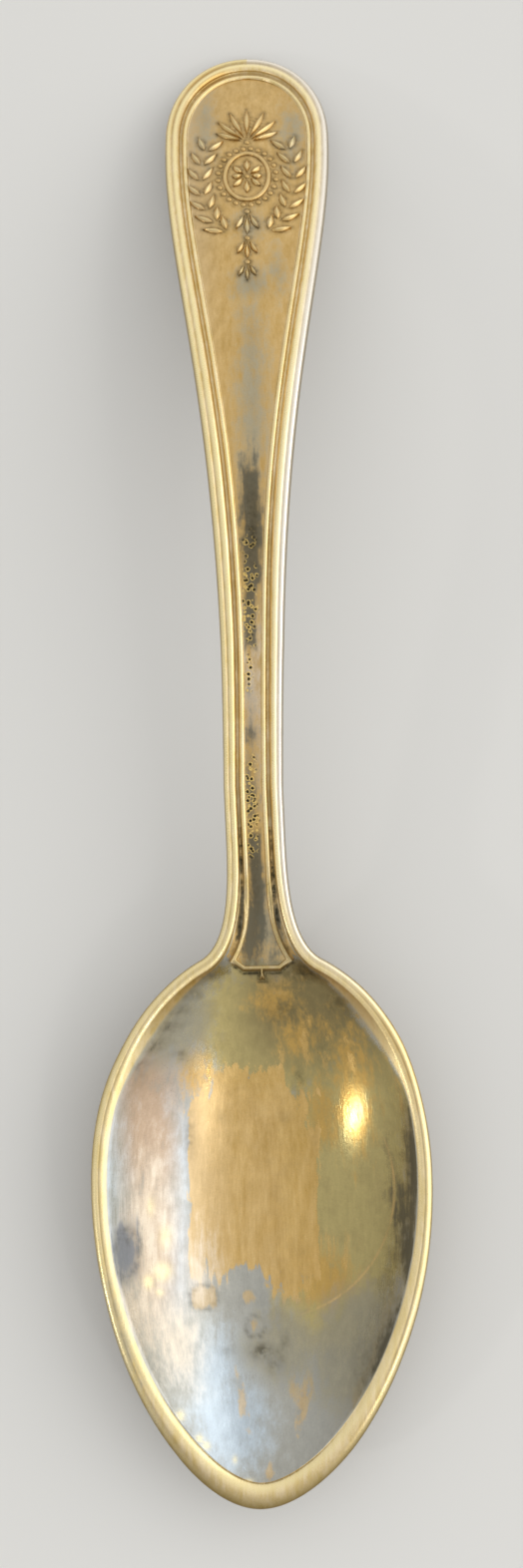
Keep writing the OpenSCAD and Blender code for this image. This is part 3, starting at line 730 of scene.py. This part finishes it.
def worn_plate(name):
    material = bpy.data.materials.new(name)
    material.use_nodes = True
    material.node_tree.nodes.clear()
    node = functools.partial(add, material.node_tree)

    coords = node("ShaderNodeTexCoord", out="Object")
    mm = node("ShaderNodeMapping", {"Vector": coords, "Scale": (1 / MM, 1 / MM, 1 / MM)})
    x, y = node("ShaderNodeSeparateXYZ", {0: mm}).node.outputs[:2]
    drawn = node("ShaderNodeMapping", {"Vector": mm, "Scale": (1, STREAK_SHARE, 1)})
    wiped = node("ShaderNodeMapping", {
        "Vector": mm, "Rotation": (0, 0, HAIR_TURN), "Scale": (1, HAIR_SHARE, 1),
    })
    cloud, streak, grain, blotch, hair = [
        node("ShaderNodeTexNoise", {"Vector": way, "Scale": per_mm, "Detail": detail, "Roughness": rough})
        for way, per_mm, detail, rough in (
            (mm, CLOUDS_PER_MM, 6, 0.62), (drawn, STREAKS_PER_MM, 6, 0.7), (mm, GRAINS_PER_MM, 4, 0.7),
            (mm, BLOTCHES_PER_MM, 5, 0.7), (wiped, HAIRS_PER_MM, 2, 0.5),
        )
    ]
    own = {
        key: node("ShaderNodeAttribute", out="Fac", attribute_name=key)
        for key in ["inside", "rub", "grime", "edge", "pale", *RAGGED]
    }
    mask = {}
    for key, (clouds, streaks, soft) in RAGGED.items():
        ragged = node("ShaderNodeMath", {0: cloud, 1: clouds, 2: own[key]}, operation="MULTIPLY_ADD")
        ragged = node("ShaderNodeMath", {0: streak, 1: streaks, 2: ragged}, operation="MULTIPLY_ADD")
        middle = (clouds + streaks) / 2
        ends = {0: ragged, 1: middle - soft, 2: middle + soft}
        mask[key] = node("ShaderNodeMapRange", ends, interpolation_type="SMOOTHSTEP")
    inside = faded(node, 1, (own["inside"], 0.4, 0.6))

    # Tarnish, bare brass, painted reflections and painted shade, each over those before it
    # The border's tones: the painted highlight on the right beads, and the dark edge tone, which is painted
    # shade
    border = layered(
        node, BORDER, (faded(node, 1, (streak, 0.35, 0.62)), 1, BORDER_PALE),
        (own["pale"], 1, PAINTED_HIGHLIGHT), (own["edge"], 1, EDGE),
    )
    # The olive turns darker towards the top of the hollow, as painted shade, and in random clouds
    olive_shade_and_mottle = node("ShaderNodeMath", {
        0: faded(node, 1, (y, *OLIVE_SHADE_Y), (x, *OLIVE_SHADE_X)), 1: faded(node, 1, (cloud, 0.44, 0.6, 0, 0.3)),
    }, operation="MAXIMUM")
    small_fleck = node("ShaderNodeMath", {0: mask["fleck"], 1: 0.62}, operation="MULTIPLY")
    gold = node("ShaderNodeMath", {0: mask["brass"], 1: small_fleck}, operation="MAXIMUM")
    gold = node("ShaderNodeMath", {0: gold, 1: 0.92}, operation="MULTIPLY")
    gold_tone = layered(
        node, BRASS, (faded(node, 1, (streak, 0.28, 0.78)), 1, BRASS_LIGHT),
        (faded(node, 0.6, (x, *BRASS_PALE_X)), 1, BRASS_PALE),
    )
    shade_tone = layered(node, SHADE, (faded(node, 1, (x, *SHADE_BLUE_X)), 1, SHADE_BLUE))
    scratch = faded(
        node, inside, (scratch_line(node, x, y), *SCRATCH_EDGE), (y, *SCRATCH_TOP_Y), (y, *SCRATCH_END_Y),
        (x, *SCRATCH_X), (streak, 0.42, 0.55, 0.2, 0.7),
    )
    colour = layered(
        node, border, (inside, 1, GREY), (mask["pink"], 1, PINK), (mask["blue"], 1, BLUE),
        (mask["olive"], 1, layered(node, OLIVE, (olive_shade_and_mottle, 1, OLIVE_SHADE))),
        (mask["warm"], 0.85, BRASS), (gold, 1, gold_tone), (mask["cream"], 0.9, CREAM),
        (mask["drab"], 0.85, DRAB), (mask["shade"], 0.9, shade_tone), (scratch, 1, BRASS_LIGHT),
    )
    uneven = faded(
        node, 1, (streak, 0.3, 0.7, 0.9, 1.08), (cloud, 0.3, 0.7, 0.94, 1.06), (grain, 0.3, 0.7, 0.95, 1.05),
    )
    colour = node("ShaderNodeVectorMath", {0: colour, "Scale": uneven}, operation="SCALE")

    # Rubbed crests, whitened on the right by a painted highlight, pits with crusts round them, and dirt with
    # painted shade in it
    pit = node("ShaderNodeTexVoronoi", {"Vector": mm, "Scale": PITS_PER_MM}, "Distance")
    pit = node("ShaderNodeMath", {0: grain, 1: 0.5, 2: pit}, operation="MULTIPLY_ADD")
    pitted = faded(node, mask["soil"], (pit, 0.6, 0.52))
    crusted = faded(node, mask["soil"], (pit, 0.56, 0.62), (pit, 0.74, 0.68))
    in_bowl = faded(node, 1, (y, *BOWL_DIRT_Y))
    groove_dirt = faded(node, 1, (cloud, 0.35, 0.55, 0.4, 0.7))
    groove_dirt = node("ShaderNodeMath", {0: in_bowl, 1: 0.3, 2: groove_dirt}, operation="MULTIPLY_ADD")
    mottle = faded(node, 1, (blotch, 0.38, 0.6, 0.35, 1.25), (cloud, 0.35, 0.55, 0.6, 1))
    dirt = node("ShaderNodeMix", {0: inside, 2: groove_dirt, 3: mottle}, data_type="FLOAT")
    grime = node("ShaderNodeMath", {0: own["grime"], 1: dirt}, operation="MULTIPLY")
    black = node("ShaderNodeMath", {0: in_bowl, 1: inside}, operation="MAXIMUM")
    colour = layered(
        node, colour, (own["rub"], 1, layered(node, RUBBED, (own["pale"], 1, PAINTED_HIGHLIGHT))),
        (pitted, 1, SOIL), (crusted, 1, CRUST),
        (grime, 1, layered(node, GRIME, (black, 1, SOIL))),
    )

    # Smooth where it is polished or has its film, dull where it is dark or dirty
    film = faded(node, mask["olive"], (gold, 1, 0))
    gritty = faded(node, 1, (grain, 0.3, 0.7, -0.05, 0.06))
    rough = 0.31
    for where, roughness in (
        (gold, 0.32), (mask["cream"], 0.3), (film, 0.17), (mask["shade"], 0.5), (own["rub"], 0.26),
        (grime, 0.6),
    ):
        rough = node("ShaderNodeMix", {0: where, 2: rough, 3: roughness}, data_type="FLOAT")
    rough = node("ShaderNodeMath", {0: rough, 1: gritty}, operation="ADD")
    height = streak
    for form, share in ((hair, 0.6), (grain, 0.15), (pitted, -2.5), (crusted, 3)):
        height = node("ShaderNodeMath", {0: form, 1: share, 2: height}, operation="MULTIPLY_ADD")
    bump = node("ShaderNodeBump", {"Height": height, "Strength": 0.4, "Distance": GRAIN_H * MM})
    metal = node("ShaderNodeBsdfPrincipled", {
        "Base Color": colour, "Roughness": rough, "Metallic": 1, "Normal": bump,
    })
    node("ShaderNodeOutputMaterial", {"Surface": metal})
    return material


plate = worn_plate("worn_silver_plate_on_brass")


def border_look(rows, inner_count, groove_grime):
    """Look of the right half of the top: rubbed crests and dirty grooves across the rim or bead, and a
    painted highlight on the beads, kept to the spoon's right side
    """
    y, width = rows[0][:, 1:], rows[2][:, None]
    handle, toe, roll = handle_share(y), toe_share(width), RIM_ROLL_W / width
    across = RIM_SHARES
    roll_rub = np.clip(0.75 - 1.2 * np.abs(across / roll - 0.6), 0, 1)
    flat_rub = 0.4 * smooth((across - roll * 1.2) / 0.12)
    rim_rub = lerp(roll_rub + flat_rub, 0.8 * hump(across, 0.8, 0.17), toe)
    bead_rub = hump(across, 0.22, 0.12) + hump(across, 0.68, 0.13)
    rim_grime = 0.5 * (1 - toe) * hump(across, roll * RIM_LINE_SHARE, 0.05)
    bead_grime = 0.6 * hump(across, BEAD_VALLEY_SHARE, 0.05) + 0.7 * ease(across, 0.93, 1)
    border = {
        "inside": 0 * width * across,
        "rub": np.clip(lerp(rim_rub, bead_rub, handle), 0, 1),
        "grime": lerp(rim_grime, bead_grime, handle),
        # Painted shade on the outer side of the rim or bead, which turns away from the light
        "edge": np.clip(1 - across * width / lerp(DARK_EDGE_W, TOE_DARK_EDGE_W, toe), 0, 1),
        # Painted highlight over the bead's outer roll
        "pale": handle * hump(across, 0.18, 0.34),
    }
    none = np.zeros((len(y), inner_count))
    look = {key: np.concatenate([values, none], 1) for key, values in border.items()}
    look["grime"][:, len(RIM_SHARES):len(RIM_SHARES) + len(GROOVE_SHARES)] = groove_grime
    return look


def struck(name, rows, inside, look, capped):
    """One piece of the blank, from its outline's rows, its inner columns and the look of its right half"""
    under = under_part(rows)
    grid = whole_sections(np.concatenate([rim_part(rows), inside], 1), under, (-1, 1, 1))
    look["grime"] = np.clip(look["grime"], 0, 1)
    # The whole underside takes the dark edge tone, as painted shade
    hidden = {"inside": -1.0, "rub": 0.0, "grime": 0.0, "edge": 1.0, "pale": 0.0}
    whole = {key: whole_sections(look[key], np.full(under.shape[:2], hidden[key])) for key in hidden}
    return skin(name, grid, capped, marks(grid[:, :, 0], grid[:, :, 1], **whole), plate)


def bowl_look(rows, inside):
    """Adds to the border's look: the tongue's thread, bright by the stem, with dirt along its outer foot"""
    look = border_look(rows, inside.shape[1], 0.75 * handle_share(rows[0][:, 1:]) ** 2)
    across = tongue_inside(inside[:, :, 0], inside[:, :, 1]) / THREAD_W
    thread = thread_rise(np.clip(across, 0, 1)) * (across > 0) * (across < 1)
    on_neck = ease(inside[:, :, 1], NECK_Y, NECK_Y - NECK_FADE)
    inner = np.s_[:, len(RIM_SHARES):]
    look["inside"][inner] = thread <= 0.3
    look["rub"][inner] = lerp(0.5, 0.1, on_neck) * thread
    look["edge"][inner] = 0.6 * on_neck * thread
    look["grime"][inner] += 0.8 * on_neck * hump(across, -0.3, 0.3)
    return look


rows = bowl_rows()
inside = bowl_inside(rows)
bowl = struck("struck_bowl", rows, inside, bowl_look(rows, inside), (False, True))
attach(bowl, "root")
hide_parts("bowl")

# Stem
# The slender middle of the handle, of the same plated brass and struck with the bowl: two rolls along each
# edge, a groove, a thin thread and a sunk panel. The rolls are rubbed, and the panel is black and pitted.
BLADE_Y = BLADE_LOW[1]
BLADE_BEAD_W = 1.5
STEM_ROWS, STEM_PANEL_COUNT = 320, 24
# Stretches over which the grooves get cleaner up the handle, and dirtier towards its end
CLEAN_Y, DIRTY_Y = (12, 26), (50, 62)


def stem_rows(y):
    edge = np.stack([half_w(y), y], 1)
    bead = lerp(STEM_BEAD_W, BLADE_BEAD_W, ease(y, NECK_Y, BLADE_Y))
    return edge, np.tile([-1.0, 0.0], (len(y), 1)), bead, np.full(len(y), GROOVE_W)


def handle_inside(rows, panel_count):
    """Groove, thread and panel, from the bead inwards to the middle line"""
    edge, inward, bead, groove = rows
    foot = bead + groove
    across = np.concatenate([
        bead[:, None] + groove[:, None] * GROOVE_SHARES, foot[:, None] + THREAD_W * THREAD_SHARES,
    ], 1)
    xy = edge[:, None, :] + inward[:, None, :] * across[:, :, None]
    thread = np.concatenate([np.zeros(len(GROOVE_SHARES)), THREAD_SHARES])
    depth = thread_depth(thread, GROOVE_D, panel_fall(xy[:, :, 0], xy[:, :, 1]))
    border = np.dstack([xy, top_z(xy[:, :, 1]) - depth])
    share = to_middle(panel_count)
    x, y = xy[:, -1, :1] * share, xy[:, -1, 1:] + 0 * share
    return np.concatenate([border, np.dstack([x, y, top_z(y) - panel_fall(x, y)])], 1)


def handle_look(rows, inside):
    """Adds to the border's look: a rubbed thread with dirt at both its feet, and the panel"""
    look = border_look(rows, inside.shape[1], 0.75)
    first = len(RIM_SHARES) + len(GROOVE_SHARES)
    end = first + len(THREAD_SHARES)
    y = rows[0][:, 1:]
    look["rub"][:, first:end] = 0.5 * thread_rise(THREAD_SHARES)
    look["grime"][:, first - 1] = 0.35
    look["grime"][:, end - 1] = 0.4
    look["grime"] *= lerp(1, 0.55, ease(y, *CLEAN_Y))
    look["grime"] *= lerp(1, 1.7, ease(y, *DIRTY_Y))
    look["inside"][:, end:] = 1
    return look


rows = stem_rows(np.linspace(NECK_Y, BLADE_Y, STEM_ROWS))
inside = handle_inside(rows, STEM_PANEL_COUNT)
stem = struck("bordered_stem", rows, inside, handle_look(rows, inside), (True, True))
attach(stem, "root")
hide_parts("stem")

# Blade
# The broad end of the handle, of the same plated brass and struck with the rest. Its border runs round the
# turned-down tip, where bead and groove are wider, and the panel inside swells gently.
TIP_BEAD_W = 2
TIP_GROOVE_W = 0.75
BLADE_ROWS, TIP_ROWS, BLADE_PANEL_COUNT = 240, 120, 36

half = BLADE_W / 2
tip_curve = [(half, FLARE_Y), (half, FLARE_Y + TIP_LEN * 0.573), (half * 0.595, TIP_Y), (0, TIP_Y)]
tip = np.linspace(0, 1, TIP_ROWS)[1:]
tip_bead = lerp(BLADE_BEAD_W, TIP_BEAD_W, smooth(tip))
tip_groove = lerp(GROOVE_W, TIP_GROOVE_W, smooth(tip))
straight = stem_rows(np.linspace(BLADE_Y, FLARE_Y, BLADE_ROWS))
rows = joined(straight, rows_on(tip_curve, tip, tip_bead, tip_groove))
inside = handle_inside(rows, BLADE_PANEL_COUNT)
blade = struck("bordered_blade", rows, inside, handle_look(rows, inside), (True, False))
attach(blade, "root")
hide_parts("handle")

# Relief
# Raised in the same blow of the die: an oval medallion with a rosette and pearls, a palmette, two laurel
# branches and a pendant of husks. Polishing has rounded it and brightened its crests. Dirt stays round it.
MEDAL_FROM_TIP = 18
MEDAL_W, MEDAL_LEN, MEDAL_RING_W = 5, 7.2, 0.55
RELIEF_H = 0.42
SUNK = 0.06
PEARL_D, PEARL_COUNT = 0.62, 24
PETALS = 8
PALMETTE_LEN = 5
PALMETTE_TURNS = (-66, -44, -22, 0, 22, 44, 66)
BRANCH_LEAVES = 7
BRANCH_FROM, BRANCH_TO = -62, 42
LEAF_LEN, LEAF_W, LEAF_TURN = 2.1, 0.8, 34
HUSK_LEN, HUSK_COUNT, HUSK_SHRINK, HUSK_TURN = 2.7, 3, 0.84, 26
DIRT_REACH = 0.5
DIRT_FROM_Y, DIRT_FROM_Z = 36, 0.5
MERGE_SHARE = 0.0001

medal_y = TIP_Y - MEDAL_FROM_TIP
medal = np.array([0, medal_y])
panel_half = BLADE_W / 2 - BLADE_BEAD_W - GROOVE_W - THREAD_W
oval = np.array([MEDAL_W, MEDAL_LEN]) / 2
gap = 0.04 * (panel_half - MEDAL_W / 2)
pearl_oval = oval + PEARL_D / 2 + gap
outer_oval = pearl_oval + PEARL_D / 2
branch = np.array([(outer_oval[0] + panel_half) / 2, outer_oval[1] * 1.95])


def aim(degrees):
    """Way across the panel, turned clockwise from the tip"""
    turn = math.radians(degrees)
    return np.array([math.sin(turn), math.cos(turn)])


def leaf_form(name, fullness):
    """Leaf one unit long, wide and high, lying along Y, with a midrib and a flat foot"""
    along = np.sin(np.linspace(0, math.pi / 2, 15)) ** 2
    across = np.linspace(-1, 1, 11)
    half = np.sin(math.pi * along ** fullness)[:, None] / 2
    back = np.sin(np.radians(150 * along ** 0.7))[:, None]
    high = back * (0.72 * (1 - across ** 2) ** 0.6 + 0.28 * hump(across, 0, 0.22))
    top = np.dstack([half * across, along[:, None] + 0 * high, high])
    foot = top[:, ::-1].copy()
    foot[:, :, 2] = -0.2
    loops = np.concatenate([top, foot], 1)
    faces = quads(np.arange(loops[:, :, 0].size).reshape(loops.shape[:2]))
    mesh = bpy.data.meshes.new(name)
    mesh.from_pydata(loops.reshape(-1, 3).tolist(), [], faces)
    work = bmesh.new()
    work.from_mesh(mesh)
    bmesh.ops.remove_doubles(work, verts=work.verts, dist=MERGE_SHARE)
    for end_y in (0, 1):
        ends = [vertex for vertex in work.verts if abs(vertex.co.y - end_y) < MERGE_SHARE]
        bmesh.ops.pointmerge(work, verts=ends, merge_co=Vector((0, end_y, -0.1)))
    bmesh.ops.dissolve_degenerate(work, edges=work.edges, dist=MERGE_SHARE / 10)
    bmesh.ops.recalc_face_normals(work, faces=work.faces)
    work.to_mesh(mesh)
    work.free()
    return stood(name, mesh)


def pearl_form(name):
    """Ball of one unit"""
    mesh = bpy.data.meshes.new(name)
    work = bmesh.new()
    bmesh.ops.create_uvsphere(work, u_segments=16, v_segments=10, radius=0.5)
    work.to_mesh(mesh)
    work.free()
    return stood(name, mesh)


# Each leaf and petal has a place, a turn, a length and a width, and each pearl has a place
leaves, petals, pearls = [], [], []
for side in (-1, 1):
    for i in range(BRANCH_LEAVES):
        turn = math.radians(lerp(BRANCH_FROM, BRANCH_TO, i / BRANCH_LEAVES))
        at = medal + branch * (side * math.cos(turn), math.sin(turn))
        way = math.degrees(math.atan2(-side * branch[0] * math.sin(turn), branch[1] * math.cos(turn)))
        off = aim(way + 90) * LEAF_W / 2 * 0.44
        leaves.append((*(at + off), way + LEAF_TURN, LEAF_LEN, LEAF_W))
        leaves.append((*(at - off), way - LEAF_TURN, LEAF_LEN, LEAF_W))
pearls.append(medal)
for i in range(PEARL_COUNT):
    pearls.append(medal + aim(360 * (i + 0.5) / PEARL_COUNT) * pearl_oval)
for i in range(PETALS):
    turn = 360 * i / PETALS
    start = PEARL_D / 2 + gap
    reach = np.linalg.norm(aim(turn) * (oval - MEDAL_RING_W - gap)) - start
    petals.append((*(medal + aim(turn) * start), turn, reach * 0.78, LEAF_W))
palmette = medal + (0, outer_oval[1] + PEARL_D)
pearls.append(palmette)
for turn in PALMETTE_TURNS:
    length = PALMETTE_LEN * (1 - 0.3 * (turn / PALMETTE_TURNS[-1]) ** 2) - PEARL_D
    petals.append((*(palmette + aim(turn) * PEARL_D), turn, length, LEAF_W * 0.95))
at = medal - (0, outer_oval[1] + PEARL_D)
for i in range(HUSK_COUNT):
    shrink = HUSK_SHRINK ** i
    pearls.append(at)
    for turn, share in ((180 - HUSK_TURN, 0.8), (180, 1), (180 + HUSK_TURN, 0.8)):
        foot = at + aim(turn) * PEARL_D * 0.7
        petals.append((*foot, turn, HUSK_LEN * shrink * share, LEAF_W * 0.9 * shrink))
    at = at - (0, HUSK_LEN * shrink + PEARL_D * 1.4)

items = leaves + petals + [(*place, 0, PEARL_D, PEARL_D) for place in pearls]
seeds = bpy.data.meshes.new("relief_places")
seeds.from_pydata([(x, y, 0) for x, y, *_ in items], [], [])
for key, kind, values in (
    ("kind", "INT", [0] * len(leaves) + [1] * len(petals) + [2] * len(pearls)),
    ("turn", "FLOAT", [math.radians(-item[2]) for item in items]),
    ("long", "FLOAT", [item[3] for item in items]),
    ("wide", "FLOAT", [item[4] for item in items]),
):
    seeds.attributes.new(key, kind, "POINT").data.foreach_set("value", values)
relief_seed = stood("relief_places", seeds)
forms = [leaf_form("laurel_leaf", 0.85), leaf_form("petal", 1.35), pearl_form("pearl")]

# The die's cut: one form on each place, and the medallion's ring
strike = bpy.data.node_groups.new("struck_relief", "GeometryNodeTree")
strike.interface.new_socket("Geometry", in_out="INPUT", socket_type="NodeSocketGeometry")
sizes = {
    "Relief height": RELIEF_H, "Medal width": MEDAL_W, "Medal length": MEDAL_LEN, "Ring width": MEDAL_RING_W,
}
sockets = {}
for label, size in sizes.items():
    sockets[label] = strike.interface.new_socket(label, in_out="INPUT", socket_type="NodeSocketFloat")
    sockets[label].default_value = size
strike.interface.new_socket("Geometry", in_out="OUTPUT", socket_type="NodeSocketGeometry")
cut = functools.partial(add, strike)
given = cut("NodeGroupInput").node.outputs
own = {
    key: cut("GeometryNodeInputNamedAttribute", {"Name": key}, "Attribute", data_type=kind)
    for key, kind in (("kind", "INT"), ("turn", "FLOAT"), ("long", "FLOAT"), ("wide", "FLOAT"))
}
turned = cut("ShaderNodeCombineXYZ", {"Z": own["turn"]})
size = cut("ShaderNodeCombineXYZ", {"X": own["wide"], "Y": own["long"], "Z": given["Relief height"]})
struck_forms = []
for number, form in enumerate(forms):
    chosen = cut("FunctionNodeCompare", {2: own["kind"], 3: number}, data_type="INT", operation="EQUAL")
    shape = cut("GeometryNodeObjectInfo", {"Object": form}, "Geometry")
    struck_forms.append(cut("GeometryNodeInstanceOnPoints", {
        "Points": given["Geometry"], "Selection": chosen, "Instance": shape, "Rotation": turned,
        "Scale": size,
    }))
halves = []
for label in ("Medal width", "Medal length"):
    ring_middle = cut("ShaderNodeMath", {0: given[label], 1: given["Ring width"]}, operation="SUBTRACT")
    halves.append(cut("ShaderNodeMath", {0: ring_middle, 1: 0.5}, operation="MULTIPLY"))
circle = cut("GeometryNodeCurvePrimitiveCircle", {"Resolution": 96, "Radius": 1})
oval_size = cut("ShaderNodeCombineXYZ", {"X": halves[0], "Y": halves[1], "Z": 1})
middle = (0, medal_y, 0)
oval_line = cut("GeometryNodeTransform", {"Geometry": circle, "Translation": middle, "Scale": oval_size})
ring_half = cut("ShaderNodeMath", {0: given["Ring width"], 1: 0.5}, operation="MULTIPLY")
profile = cut("GeometryNodeCurvePrimitiveCircle", {"Resolution": 14, "Radius": ring_half})
ring = cut("GeometryNodeCurveToMesh", {"Curve": oval_line, "Profile Curve": profile})
whole = cut("GeometryNodeJoinGeometry", {"Geometry": [*struck_forms, ring]})
real = cut("GeometryNodeRealizeInstances", {"Geometry": whole})
dressed = cut("GeometryNodeSetMaterial", {"Geometry": real, "Material": plate})
cut("NodeGroupOutput", {"Geometry": dressed})

modifier = relief_seed.modifiers.new("struck_relief", "NODES")
modifier.node_group = strike
for label, size in sizes.items():
    modifier[sockets[label].identifier] = float(size)
evaluated = relief_seed.evaluated_get(bpy.context.evaluated_depsgraph_get())
relief_mesh = bpy.data.meshes.new_from_object(evaluated)
relief_mesh.name = "laurel_relief"
relief_seed.modifiers.remove(modifier)
for form in forms + [relief_seed]:
    bpy.data.objects.remove(form)
for key in own:
    if key in relief_mesh.attributes:
        relief_mesh.attributes.remove(relief_mesh.attributes[key])

# Seated on the swelling panel, bright on its crests and dirty at its foot
flat = np.empty(len(relief_mesh.vertices) * 3, np.float32)
relief_mesh.vertices.foreach_get("co", flat)
x, y, height = flat.reshape(-1, 3).astype(float).T
points = np.stack([x, y, top_z(y) - panel_fall(x, y) - SUNK + height], 1) * MM
relief_mesh.vertices.foreach_set("co", points.reshape(-1).astype(np.float32))
crest = ease(height / RELIEF_H, 0.45, 0.95)
low = 1 - ease(height, SUNK, SUNK + 0.3 * RELIEF_H)
worn_fields(relief_mesh, marks(x, y, 1 + 0 * x, 0.55 * crest, 0.6 * low, 0 * x, 0 * x))
relief = stood("laurel_relief", relief_mesh)
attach(relief, "root")
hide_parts("crest")

# Dirt that polishing can't reach lies on the panel close round the relief
foots = KDTree(len(x))
for i, place in enumerate(zip(x, y)):
    foots.insert((*place, 0), i)
foots.balance()
dirt = blade.data.attributes["grime"].data
for vertex in blade.data.vertices:
    x, y, z = vertex.co / MM
    if y > DIRT_FROM_Y and z > DIRT_FROM_Z and abs(x) < BLADE_W / 2 - BLADE_BEAD_W:
        near = foots.find((x, y, 0))[2] / DIRT_REACH
        if near < 1:
            dirt[vertex.index].value = max(dirt[vertex.index].value, 0.6 * (1 - near) ** 1.5)

# Floor
# A plain pale sheet of matt paper that the spoon lies on. It is far wider than the picture, so that its edge
# stays out of every reflection.
FLOOR = "#dcdad5"
FLOOR_REACH = 3
corners = [(FLOOR_REACH * x, FLOOR_REACH * y, 0) for x, y in ((-1, -1), (1, -1), (1, 1), (-1, 1))]
floor_mesh = bpy.data.meshes.new("floor")
floor_mesh.from_pydata(corners, [], [(0, 1, 2, 3)])
floor = stood("floor", floor_mesh)
paper = bpy.data.materials.new("matt_paper")
paper.use_nodes = True
sheet = paper.node_tree.nodes["Principled BSDF"].inputs
sheet["Base Color"].default_value = linear(FLOOR)
sheet["Roughness"].default_value = 0.9
floor_mesh.materials.append(paper)

# Camera
# It stands over the bowl's shoulders, tips towards the handle and turns a little, as the picture was taken.
# Its focal length is given in pixels of the picture, whose height is the longer side.
CAMERA_AT = Vector((2.9, -38.25, 165.57)) * MM
CAMERA_TILT, CAMERA_YAW, CAMERA_ROLL = np.radians([10.9, -0.84, -0.872])
FOCAL_PX = 1700
PICTURE_H_PX = 1572
SENSOR = 36
forward = Vector((
    math.sin(CAMERA_YAW), math.sin(CAMERA_TILT), -math.cos(CAMERA_TILT) * math.cos(CAMERA_YAW),
)).normalized()
level = forward.cross(Vector((0, 1, 0))).normalized()
upright = level.cross(forward)
right = level * math.cos(CAMERA_ROLL) + upright * math.sin(CAMERA_ROLL)
up = upright * math.cos(CAMERA_ROLL) - level * math.sin(CAMERA_ROLL)
lens = bpy.data.cameras.new("camera")
lens.sensor_width = SENSOR
lens.lens = FOCAL_PX / PICTURE_H_PX * SENSOR
lens.clip_start = 0.01
camera = stood("camera", lens)
camera.matrix_world = Matrix.Translation(CAMERA_AT) @ Matrix((right, up, -forward)).transposed().to_4x4()
bpy.context.scene.camera = camera

# Light
# Soft daylight from all sides, a little stronger from the right. A broad window stands on the right of the
# spoon, and two small lamps, low past the toe on both sides, put the bright points on the rim.
LIT_PLACE = Vector((0, -0.03, 0.005))
SKY_COLOUR = "#f6f7f8"
SKY_STRENGTH = 0.9
SKY_SLOPE = (0.22, 0.1, 0)
for name, at, size, power in (
    ("broad_window", (0.9, 0.1, 0.53), (1.3, 1.1), 3.5),
    ("low_left_lamp", (-0.415, -0.235, 0.25), (0.025, 0.03), 0.15),
    ("low_right_lamp", (0.23, -0.29, 0.36), (0.05, 0.05), 0.1),
):
    light = bpy.data.lights.new(name, "AREA")
    light.shape = "RECTANGLE"
    light.size, light.size_y = size
    light.energy = power
    lamp = stood(name, light)
    lamp.location = at
    lamp.rotation_euler = (LIT_PLACE - Vector(at)).to_track_quat("-Z", "Y").to_euler()
world = bpy.data.worlds.new("daylight")
world.use_nodes = True
sky = world.node_tree.nodes["Background"]
sky.inputs["Color"].default_value = linear(SKY_COLOUR)
node = functools.partial(add, world.node_tree)
way = node("ShaderNodeTexCoord", out="Generated")
from_side = node("ShaderNodeVectorMath", {0: way, 1: SKY_SLOPE}, "Value", operation="DOT_PRODUCT")
brightness = node("ShaderNodeMath", {0: from_side, 1: SKY_STRENGTH}, operation="ADD")
world.node_tree.links.new(brightness, sky.inputs["Strength"])
bpy.context.scene.world = world
bpy.context.scene.view_settings.view_transform = "Standard"
